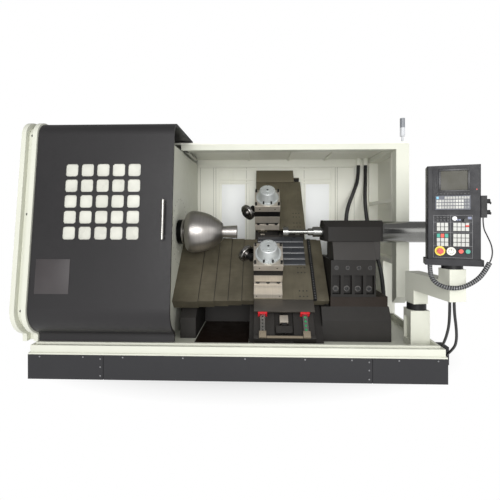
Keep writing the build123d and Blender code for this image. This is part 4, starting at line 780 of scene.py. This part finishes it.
@operator("machine.dress_bed", "Bed and slides")
class MachineBed(bpy.types.Operator):
    """Finish the bed, the telescopic covers and the slides"""

    def execute(self, context):
        tone, size = settings(context)
        olive = steel("oiled sheet", tone.olive, 0.40, (0.02, 1, 1), lines=300, metal=0.35, stain=0.25)
        covers = [f"left_cover_{number}" for number in range(1, 6)]
        dress(olive, *covers, "right_cover_inner", "right_cover_outer", soft=0.0012)
        slides = steel(
            "oiled plate", tone.olive, 0.38, (1, 0.02, 0.02), lines=300, metal=0.35, stain=0.2,
            zones=lambda f: [
                (f.over(f.off_plate(), 0.001), tone.ground),
                (f.band(f.off_plate(), 0.0715, 0.0985), tone.cast),
            ])
        dress(slides, "lower_slide", "upper_slide", soft=0.002)
        bed = cast("oiled iron", tone.cast, zones=lambda f: [
            (f.both(f.over(f.axis("X"), 0.775), f.over(f.axis("Z"), 0.4655)), tone.brown)])
        dress(bed, "slant_bed", "headstock", "spindle_motor", soft=0.004)
        saddle = cast("black iron", tone.cast, relief=0.0006, rough=0.5, zones=lambda f: [
            (f.over(f.off_plate(), 0.0038), tone.olive)])
        dress(saddle, "saddle", soft=0.003)
        dress(steel("rails", (0.32, 0.31, 0.29), 0.28), "cross_rails", "cross_screw", soft=0.001)
        self.bellows()
        black = moulded("black fittings", srgb(24, 24, 25), 0.42)
        self.slide_fittings(tone, size, black)
        self.rail_fittings(tone, black)
        return {"FINISHED"}

    def slide_fittings(self, tone, size, black):
        """Wipers of the covers, dark lips that also paint the shade of the cover steps, and screws, seals and apron of
        the slides.
        """
        # Dark lips on the covers' right edges: wiper lips, and painted shade where each cover steps onto the next
        for number, (body, edge) in enumerate(COVER_EDGES.items()):
            foot, top = -0.571 + COVER_STEP * number, -0.0205 - COVER_STEP * number
            lip = Shape(SLANT).block((edge, foot, top - 0.008), (edge + 0.003, 0.150, top), 0.0005)
            lip.finish(f"cover_wiper_{number + 1}", black, body, "black_rubber")
        for body, rows in GUIDE_ROWS.items():
            spots = [
                (RAIL_X[1] + dx, row + dv, -0.001) for row in rows for dx in (-0.03, 0, 0.03) for dv in (-0.027, 0.027)]
            screws = Shape(SLANT).bars(spots, UP, size.screw, 0.0022, 14)
            screws.finish(f"{body}_screws", black, body, "black_steel")

        foot, head = SEAL_V
        seals = Shape(SLANT)
        for x in RAIL_X:
            for near, far in ((-0.0375, -0.0215), (0.0215, 0.0375)):
                seals.block((x + near, foot, -0.058), (x + far, head, -0.023), 0.002)
            seals.block((x - 0.0375, foot, -0.0245), (x + 0.0375, head, -0.006), 0.002)
        seals.finish("rail_seals", moulded("seal red", tone.seal, 0.4), "lower_slide", "red_plastic")
        apron = Shape(SLANT).block((0.139, head, -0.024), (0.628, -0.558, -0.003), 0.002)
        bare = steel("apron steel", srgb(86, 82, 76), 0.34, metal=0.6)
        apron.finish("slide_apron", bare, "lower_slide", "ground_steel")

    def rail_fittings(self, tone, black):
        """Holes, caps and feet of the rails, the screw's end and the drag chain."""
        holes = Shape(SLANT)
        for number in range(5):
            holes.bar((RAIL_X[0], -0.706 - 0.03 * number, RAIL_TOP - 0.0002), UP, 0.0065, 0.0008, steps=16)
            for dx in (-0.118, 0.118):
                holes.bar((SCREW_X + dx, -0.70 - 0.036 * number, -0.0602), UP, 0.006, 0.0012, steps=14)
        holes.finish("rail_holes", black, "carriage", "black_steel")
        spots = [(RAIL_X[1], -0.712 - 0.036 * number, RAIL_TOP - 0.0005) for number in range(4)]
        caps = Shape(SLANT).bars(spots, UP, 0.009, 0.0035, 20)
        caps.finish("rail_caps", moulded("cap green", tone.cap, 0.4), "carriage", "green_plastic")
        feet = Shape(SLANT)
        for x in RAIL_X:
            feet.block((x - 0.028, FOOT_V, RAIL_TOP), (x + 0.028, -0.842, -0.004), 0.002)
        feet.block((RAIL_X[0] + 0.03, FOOT_V, RAIL_TOP), (RAIL_X[1] - 0.03, -0.878, -0.014), 0.002)
        feet.finish("foot_blocks", paint("foot paint", tone.foot), "carriage", "cream_paint")
        bracket = Shape(SLANT).block((SCREW_X - 0.034, -0.755, -0.079), (SCREW_X + 0.034, -0.690, -0.030), 0.003)
        bracket.finish("nut_bracket", steel("nut steel", tone.ground, 0.4, metal=0.6), "carriage", "ground_steel")
        bearing = Shape(SLANT).turn((SCREW_X, -0.779, -0.064), (0, 1, 0), BEARING_PROFILE)
        bearing.finish("screw_bearing", steel("bearing steel", (0.09, 0.09, 0.09), 0.3), "carriage", "black_steel")

        chain = Shape(SLANT)
        pins = Shape(SLANT)
        for number in range(CHAIN_LINKS):
            v = CHAIN_FOOT + CHAIN_PITCH * number
            chain.block((0.634, v, -0.052), (0.662, v + 0.022, -0.020), 0.003)
            pins.bar((0.648, v + 0.011, -0.0205), UP, 0.004, 0.001, steps=10)
        chain.finish("drag_chain", black, "carriage", "black_rubber")
        pins.finish("drag_chain_pins", steel("pin steel", (0.35, 0.35, 0.35), 0.35), "carriage", "turned_steel")

    def bellows(self):
        """Folded cover between the lower slide and the centre cover."""
        low, high = BELLOWS_V
        pitch = (high - low) / FOLDS
        upper = [
            (low + pitch * (number + share), -0.025 + rise)
            for number in range(FOLDS) for share, rise in FOLD_PROFILE
        ]
        loop = [(low, -0.0245), *upper, (high, -0.0245)]
        shape = Shape(SLANT)
        shape.skin([
            [shape.mesh.verts.new(SLANT @ Vector((x, v, k))) for v, k in loop]
            for x in (SCREW_X - BELLOWS_HALF, SCREW_X + BELLOWS_HALF)
        ])
        rubber = moulded("bellows rubber", srgb(44, 46, 50), 0.3)
        piece = shape.finish("bellows_folds", rubber, None, "black_rubber", 50)
        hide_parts("bellows")
        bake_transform(piece)


# Turned steel: its linear colour, and tool lines that run round the piece
TURNED = (0.40, 0.38, 0.36)
ROUND_LINES = {"stretch": (1, 0.004, 0.004), "lines": 150, "relief": 0.000004}


@operator("machine.dress_heads", "Turrets and spindle")
class MachineHeads(bpy.types.Operator):
    """Finish the turrets, rollers, spindle and mandrel"""

    def execute(self, context):
        tone, size = settings(context)
        ground = steel("ground steel", tone.ground, 0.34, (1, 0.05, 0.05), lines=350, metal=0.6, zones=lambda f: [
            (f.over(f.off_plate(), HEAD_TOP + 0.001), srgb(30, 30, 30))])
        dress(ground, "lower_turret", "upper_turret", soft=0.002)
        silver = steel("dome", tone.dome, 0.34, metal=0.55, lines=500)
        dress(silver, "lower_dome", "upper_dome", soft=0.0015)
        black = steel("black steel", srgb(40, 39, 38), 0.3, metal=0.7)
        dress(black, "lower_roller_arm", "upper_roller_arm", soft=0.0015)
        dress(steel("roller steel", (0.26, 0.25, 0.24), 0.2, lines=90, relief=0.00001), "lower_roller", "upper_roller")
        bright = steel("turned steel", TURNED, 0.34, **ROUND_LINES)
        dress(bright, "mandrel", "spindle_bearings", "motor_pulley")
        spindle = steel("spindle steel", TURNED, 0.34, **ROUND_LINES, zones=lambda f: [
            (f.band(f.axis("X"), -0.5405, -0.500), srgb(26, 26, 26))])
        dress(spindle, "spindle")
        dress(moulded("belt", srgb(28, 28, 28), 0.7), "drive_belt")
        dark = moulded("socket black", srgb(22, 22, 22), 0.4)
        for label, v in TURRETS.items():
            self.head(label, v, silver, dark)
        spots = [(TURRET_X + dx, -0.5530, 0.030) for dx in (-0.095, 0.095)]
        toe = Shape(SLANT).bars(spots, FRONT, size.screw, 0.002, 14)
        toe.finish("toe_screws", dark, "lower_slide", "black_steel")
        return {"FINISHED"}

    def head(self, label, v, silver, dark):
        """Rings and bolts of one turret, and dark rods painted as the shade in its flange cutouts, at its place up the
        slope.
        """
        body = f"{label}_turret"
        top = Shape(SLANT)
        top.ring((TURRET_X, v, DOME_TOP - 0.0002), UP, 0.052, 0.045, 0.003, 40)
        top.ring((TURRET_X, v, DOME_TOP - 0.0002), UP, 0.024, 0.012, 0.005, 28)
        lugs = [(TURRET_X + dx, v + dv, HEAD_TOP + 0.0155) for dx, dv in on_circle(6, 0.098, 0.5)]
        top.bars(lugs, UP, 0.0055, 0.006, 14)
        top.finish(f"{label}_dome_fittings", silver, body, "dome_aluminium")
        front = v - TURRET_HALF
        bolts = Shape(SLANT)
        bolts.bar((TURRET_X, v, DOME_TOP - 0.0005), UP, 0.010, 0.003, steps=6)
        for dx, dv in on_circle(8, 0.060):
            bolts.bar((TURRET_X + dx, v + dv, DOME_TOP - 0.0005), UP, 0.0032, 0.0012, steps=10)
        for dx in (-0.07, 0.07):
            bolts.bar((TURRET_X + dx, front + 0.0005, 0.277), FRONT, 0.006, 0.0018, steps=14)
        # Painted shade: two dark rods stand for the shaded cutouts in the front of the dome flange
        for dx in (-0.036, 0.036):
            bolts.bar((TURRET_X + dx, v - 0.094, HEAD_TOP + 0.0145), UP, 0.0075, 0.026, steps=14)
        bolts.finish(f"{label}_head_bolts", dark, body, "black_steel")
        spots = [(TURRET_X + dx, front + 0.013, 0.0845) for dx in (-0.085, 0, 0.085)]
        clamps = Shape(SLANT).bars(spots, FRONT, 0.0150, 0.0150, 16)
        clamps.finish(f"{label}_base_bolts", dark, f"{label}_slide", "black_steel")


# The tailstock's bolts: the first pitch's left edge, the pitch and the two rows' heights
BOLT_LEFT = 0.780
BOLT_PITCH = 0.0925
UPPER_BOLTS, LOWER_BOLTS = 0.791, 0.612


@operator("machine.dress_tailstock", "Tailstock")
class MachineTailstock(bpy.types.Operator):
    """Finish the tailstock and its quill"""

    def execute(self, context):
        tone, _ = settings(context)
        iron = cast("tailstock iron", tone.tail, zones=lambda f: [(f.band(f.axis("Z"), 0.857, 1.006), tone.neck)])
        dress(iron, "tailstock", soft=0.004)
        dress(steel("chrome", (0.24, 0.24, 0.23), 0.2, (0.02, 0.5, 0.5), lines=60, relief=0),
              "feed_cylinder", "quill", "pusher_disc")
        bolts = Shape()
        washers = Shape()
        for number in range(4):
            x = BOLT_LEFT + BOLT_PITCH * (number + 0.5)
            bolts.socket_screw((x, -0.398, UPPER_BOLTS), FRONT, 0.0145, 0.014)
            bolts.socket_screw((x, -0.3685, LOWER_BOLTS), FRONT, 0.016, 0.016)
            washers.ring((x, -0.3683, LOWER_BOLTS), FRONT, 0.024, 0.010, 0.003)
            washers.ring((x, -0.398, UPPER_BOLTS), FRONT, 0.0175, 0.0140, 0.0125)
        bolts.finish("tailstock_bolts", moulded("bolt black", srgb(20, 20, 20), 0.3), "frame", "black_steel")
        bare = steel("washer steel", srgb(92, 90, 88), 0.35, metal=0.5)
        washers.finish("tailstock_washers", bare, "frame", "black_steel")
        return {"FINISHED"}


# Pendant, in its own frame

PANEL_Y = -0.070
KEYPAD_Y = -0.074
# Columns and rows of the keypad, its first key's place and its pitches
KEYPAD_GRID = (12, 4)
KEYPAD_START = (-0.0985, 1.3390)
KEYPAD_PITCH = (0.0166, 0.0215)
PALE_COLUMNS = (0, 1, 7, 8, 9)


@operator("machine.dress_pendant", "Pendant")
class MachinePendant(bpy.types.Operator):
    """Finish the pendant, its keys, its arm and its lamp"""

    def execute(self, context):
        tone, _ = settings(context)
        black = srgb(26, 26, 27)
        post = paint("post paint", tone.cream, zones=lambda f: [(f.over(f.axis("Z"), 0.4805), black)])
        arm = paint("arm paint", tone.cream, zones=lambda f: [(f.over(f.axis("Z"), 0.8585), black)])
        case = paint("pendant paint", tone.pendant, rough=0.4, relief=0.0003, zones=lambda f: [
            (f.over(f.along(PENDANT, 0), 0.1605), black)])
        dress(post, "pendant_post", soft=0.003)
        dress(arm, "pendant_arm", soft=0.003)
        dress(case, "pendant_case", soft=0.003)
        dress(moulded("selector", srgb(24, 24, 24)), "mode_selector", soft=0.001)
        dress(moulded("screen", tone.screen, 0.5, relief=0), "pendant_screen")
        dress(moulded("keys", tone.keys, zones=self.key_zones(tone)), "pendant_keys", soft=0.0006)
        dress(moulded("dial", tone.dial, 0.35), "feed_dial", soft=0.004)
        dress(moulded("red", tone.stop_red, 0.3), "emergency_stop", soft=0.004)
        dress(moulded("button red", tone.button_red, 0.3), "stop_button", soft=0.002)
        dress(moulded("green", tone.start_green, 0.3), "start_button", soft=0.002)
        lamp = moulded("lamp", srgb(200, 202, 205), 0.3, zones=lambda f: [
            (f.over(f.axis("Z"), 2.040), srgb(128, 131, 136))])
        dress(lamp, "signal_lamp", soft=0.004)
        self.keypad(tone)
        self.panel(tone)
        return {"FINISHED"}

    def key_zones(self, tone):
        """Coloured caps of the key node."""
        def zones(f):
            x, z = f.along(PENDANT, 0), f.axis("Z")
            row = (1.0715, 1.0985)
            return [(f.band(z, 1.25, 1.36), tone.keypad)] + [
                (f.both(f.band(z, *heights), f.band(x, *span)), cap) for heights, span, cap in (
                    (row, (-0.103, -0.081), tone.start_green), (row, (-0.079, -0.057), tone.button_red),
                    (row, (-0.055, -0.033), tone.start_green), ((1.146, 1.156), (0.069, 0.090), tone.button_red))]
        return zones

    def keypad(self, tone):
        """Rows of small keys on the keypad."""
        sets = {name: Shape(PENDANT) for name in ("white_keys", "grey_keys", "side_keys", "blue_key")}
        tones = (tone.keys, tone.grey_keys, tone.side_keys, tone.blue_key)
        columns, rows = KEYPAD_GRID
        for column in range(columns):
            for row in range(rows):
                if row == 0:
                    if column in (1, 2):
                        continue
                    name = "grey_keys" if column else "blue_key"
                elif column > PALE_COLUMNS[-1]:
                    name = "side_keys"
                else:
                    name = "white_keys" if column in PALE_COLUMNS else "grey_keys"
                x = KEYPAD_START[0] + KEYPAD_PITCH[0] * column
                z = KEYPAD_START[1] - KEYPAD_PITCH[1] * row
                sets[name].tile(x, z, 0.014, 0.017, KEYPAD_Y, 0.0022, 0.0005, 0.001)
        for (name, shape), key_tone in zip(sets.items(), tones):
            shape.finish(name, moulded(name, key_tone, 0.4), "pendant", "key_plastic")

    def panel(self, tone):
        """Bezel, soft keys, slot door, rings, rims and small knobs."""
        dark = moulded("panel black", srgb(30, 30, 32), 0.35)
        back = PANEL_Y + 0.001
        trim = Shape(PENDANT)
        trim.rim((-0.091, 0.095), (1.378, 1.532), (PANEL_Y - 0.003, back), 0.013)
        for number in range(10):
            trim.tile(-0.007 + 0.0205 * (number - 4.5), 1.365, 0.012, 0.009, PANEL_Y, 0.002, bevel=0.001)
        trim.rim((-0.119, -0.102), (1.405, 1.492), (PANEL_Y - 0.0015, back), 0.002)
        for column in range(4):
            for row in range(2):
                x, z = -0.100 + 0.0215 * column, 1.2060 - 0.0185 * row
                trim.tile(x, z, 0.017, 0.014, PANEL_Y, 0.003, bevel=0.001)
        trim.finish("panel_trim", dark, "pendant", "pendant_plastic")
        rims = Shape(PENDANT)
        rims.rim((-0.1245, 0.1105), (0.9365, 1.2225), (PANEL_Y - 0.001, back), 0.0022)
        rims.tile(-0.01875, 1.1165, 0.0015, 0.209, PANEL_Y, 0.0006)
        for z in (1.0155, 1.1055, 1.1760):
            rims.tile(-0.007, z, 0.230, 0.0014, PANEL_Y, 0.0006)
        rims.finish("panel_lines", moulded("line grey", srgb(128, 128, 130), 0.4), "pendant", "pendant_plastic")
        ring = Shape(PENDANT).ring((-0.083, PANEL_Y + 0.0005, 0.982), FRONT, 0.0318, 0.0120, 0.0057, 40)
        ring.finish("stop_ring", moulded("ring yellow", tone.ring_yellow, 0.4), "pendant", "key_plastic")
        knob = Shape(PENDANT).bar((0.003, back, 1.200), FRONT, 0.0145, 0.017, 0.003)
        knob.finish("white_knob", moulded("knob white", srgb(240, 240, 240), 0.35), "pendant", "key_plastic")
        tags = Shape(PENDANT)
        for x, z, width, height in (
            (0.022, 1.191, 0.010, 0.010), (0.036, 1.191, 0.010, 0.010), (0.0935, 1.203, 0.021, 0.016),
        ):
            tags.tile(x, z, width, height, PANEL_Y, 0.001)
        tags.finish("panel_tags", moulded("tag grey", srgb(120, 126, 150), 0.4), "pendant", "key_plastic")
        light = Shape(PENDANT).bar((0.135, -0.0645, 1.392), FRONT, 0.0035, 0.002)
        light.finish("ready_light", moulded("light red", tone.button_red, 0.3), "pendant", "red_plastic")
        marks = Shape(PENDANT)
        marks.ring((-0.018, -0.0902, 0.982), FRONT, 0.017, 0.015, 0.0006)
        marks.block((-0.0195, -0.0910, 0.984), (-0.0165, -0.0900, 1.000), 0)
        marks.finish("dial_mark", dark, "feed_dial", "pendant_plastic")
        hand = Shape(PENDANT)
        for z in (1.234, 1.302):
            hand.turn((0.2155, -0.035, z), ALONG, [(0, 0.006), (0.001, 0.009), (0.006, 0.009), (0.008, 0.006)], 16)
        hand.finish("hand_unit_tips", dark, "pendant", "pendant_plastic")


# Turns, points and thread of the spiral wrap
WRAP_PITCH = 0.014
WRAP_POINTS = 14
WRAP_RADIUS = 0.0018


@operator("machine.cords", "Cords")
class MachineCords(bpy.types.Operator):
    """Lay the cables, conduits and the curly cord"""

    def execute(self, context):
        _, size = settings(context)
        rubber = moulded("cable rubber", srgb(34, 34, 35), 0.45)
        for name, points, node in (
            ("left_conduit_hose", LEFT_CONDUIT, "conduit_left"), ("right_conduit_hose", RIGHT_CONDUIT, "conduit_right"),
        ):
            swept_cord(name, points, size.conduit, rubber, "frame", node, ribbed=True)
        for name, points, node in (
            ("left_cable_run", LEFT_CABLE, "cable_left"), ("right_cable_run", RIGHT_CABLE, "cable_right"),
        ):
            tube, spots = swept_cord(name, points, size.cable, rubber, None, node)
            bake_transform(tube)
        pendant_cord("curly_cord_run", CURLY_CORD, size.curl, rubber, "curly_cord")
        pendant_cord("hand_cord_run", HAND_CORD, size.hand_cord, rubber, "hand_cord")
        self.wrap(size)
        return {"FINISHED"}

    def wrap(self, size):
        """A clear spiral wrap round the curly cord."""
        line, total = measured_line("wrap", CURLY_CORD)
        turns = int(total / WRAP_PITCH)
        count = turns * WRAP_POINTS
        spots = []
        for index in range(count + 1):
            place = at_length(line, total * index / count)
            ahead = at_length(line, min(total, total * index / count + 0.004)) - place
            if ahead.length < 1e-6:
                break
            lift = ahead.normalized().cross(Vector(FRONT)).normalized()
            out = lift.cross(ahead.normalized())
            angle = 2 * math.pi * turns * index / count
            spots.append(place + (size.curl / 2 - 0.0008) * (lift * math.cos(angle) + out * math.sin(angle)))
        coil = Shape(PENDANT).sweep(spots, [WRAP_RADIUS] * len(spots), 6)
        clear = Finish("clear wrap").set(Base_Color=srgb(176, 178, 180), Roughness=0.15, Specular_IOR_Level=0.7)
        coil.finish("cord_wrap", clear.material, "pendant", "pale_pane")


# Each light's place, aim and size
LIGHTS = {
    "key": ((-1.6, -3.6, 3.6), (0, 0, 0.9), 2.4),
    "fill": ((3.0, -3.2, 2.2), (0.4, 0, 0.9), 2.4),
    "front": ((0.3, -9.0, 2.6), (0.35, 0.3, 1.05), 4.5),
}
FLOOR_SIZE = 60
# How the floor's glow spreads: shares of x and y, and from which reach to which it grows
GLOW_SPREAD = (0.55, 0.95, 1)
GLOW_REACH = (0.75, 1.1)
GLOW_SHARE = (0.6, 1)


@operator("machine.stage", "Studio")
class MachineStudio(bpy.types.Operator):
    """Set the camera, the lights, the floor and the background"""

    def execute(self, context):
        scene = context.scene
        stage = scene.machine_stage
        camera = bpy.data.objects.new("camera", bpy.data.cameras.new("camera"))
        camera.data.lens = stage.lens
        camera.data.sensor_width = 36
        camera.location = stage.eye
        camera.rotation_euler = (math.pi / 2, 0, stage.yaw)
        camera.data.shift_y = stage.shift
        scene.collection.objects.link(camera)
        scene.camera = camera
        scene.view_settings.view_transform = "Standard"
        for name, (place, aim, wide) in LIGHTS.items():
            lamp = bpy.data.objects.new(name, bpy.data.lights.new(name, "AREA"))
            lamp.data.size = wide
            lamp.data.energy = getattr(stage, name)
            lamp.location = place
            lamp.rotation_euler = (Vector(aim) - Vector(place)).to_track_quat("-Z", "Y").to_euler()
            scene.collection.objects.link(lamp)
        bpy.ops.mesh.primitive_plane_add(size=FLOOR_SIZE, location=(0, 0, 0))
        floor = bpy.context.object
        floor.name = "floor"
        floor.data.materials.append(self.floor(stage))
        self.world(scene)
        return {"FINISHED"}

    def floor(self, stage):
        """A pale floor near the machine that fades to white light further out."""
        pale = Finish("floor").set(Base_Color=stage.floor, Roughness=0.7)
        spread = pale.node("ShaderNodeMapping", {"Vector": pale.place, "Scale": GLOW_SPREAD})
        reach = pale.node("ShaderNodeVectorMath", {0: spread.outputs["Vector"]}, operation="LENGTH")
        glow = pale.node("ShaderNodeEmission", {"Color": WHITE, "Strength": 1})
        share = pale.ramp(reach.outputs["Value"], *GLOW_REACH, *GLOW_SHARE)
        mix = pale.node("ShaderNodeMixShader", {"Fac": share, 1: pale.shader.outputs[0], 2: glow.outputs[0]})
        feed(pale.tree, pale.tree.nodes["Material Output"].inputs["Surface"], mix.outputs[0])
        return pale.material

    def world(self, scene):
        """Soft light from all round, with a white background."""
        scene.world = scene.world or bpy.data.worlds.new("world")
        scene.world.use_nodes = True
        tree = scene.world.node_tree
        tree.nodes.clear()
        soft, white = [
            add_node(tree, "ShaderNodeBackground", {"Color": WHITE, "Strength": strength}).outputs[0]
            for strength in (scene.machine_stage.sky, 1)
        ]
        seen = add_node(tree, "ShaderNodeLightPath").outputs["Is Camera Ray"]
        mix = add_node(tree, "ShaderNodeMixShader", {"Fac": seen, 1: soft, 2: white})
        add_node(tree, "ShaderNodeOutputWorld", {"Surface": mix.outputs[0]})


OPERATORS = (
    MachineCabinet, MachineDoor, MachineBed, MachineHeads, MachineTailstock, MachinePendant, MachineCords,
    MachineStudio,
)


GROUPS = {"machine_finishes": MachineFinishes, "machine_fittings": MachineFittings, "machine_stage": MachineStage}


class MachinePanel(bpy.types.Panel):
    """Settings and steps of the machine's dressing."""
    bl_idname = "VIEW3D_PT_machine"
    bl_label = "Spinning machine"
    bl_space_type = "VIEW_3D"
    bl_region_type = "UI"
    bl_category = "Machine"

    def draw(self, context):
        for group in GROUPS:
            values = getattr(context.scene, group)
            box = self.layout.box()
            for name in values.__annotations__:
                box.prop(values, name)
        for step in OPERATORS:
            self.layout.operator(step.bl_idname)


CLASSES = (*GROUPS.values(), *OPERATORS, MachinePanel)


def register():
    """Adds the add-on's classes and settings."""
    for cls in CLASSES:
        bpy.utils.register_class(cls)
    for name, group in GROUPS.items():
        setattr(bpy.types.Scene, name, bpy.props.PointerProperty(type=group))


def unregister():
    """Takes the add-on's classes and settings away."""
    for name in GROUPS:
        delattr(bpy.types.Scene, name)
    for cls in reversed(CLASSES):
        bpy.utils.unregister_class(cls)


def main():
    """Runs every step."""
    register()
    for step in OPERATORS:
        space, name = step.bl_idname.split(".")
        getattr(getattr(bpy.ops, space), name)()


if __name__ == "__main__":
    main()
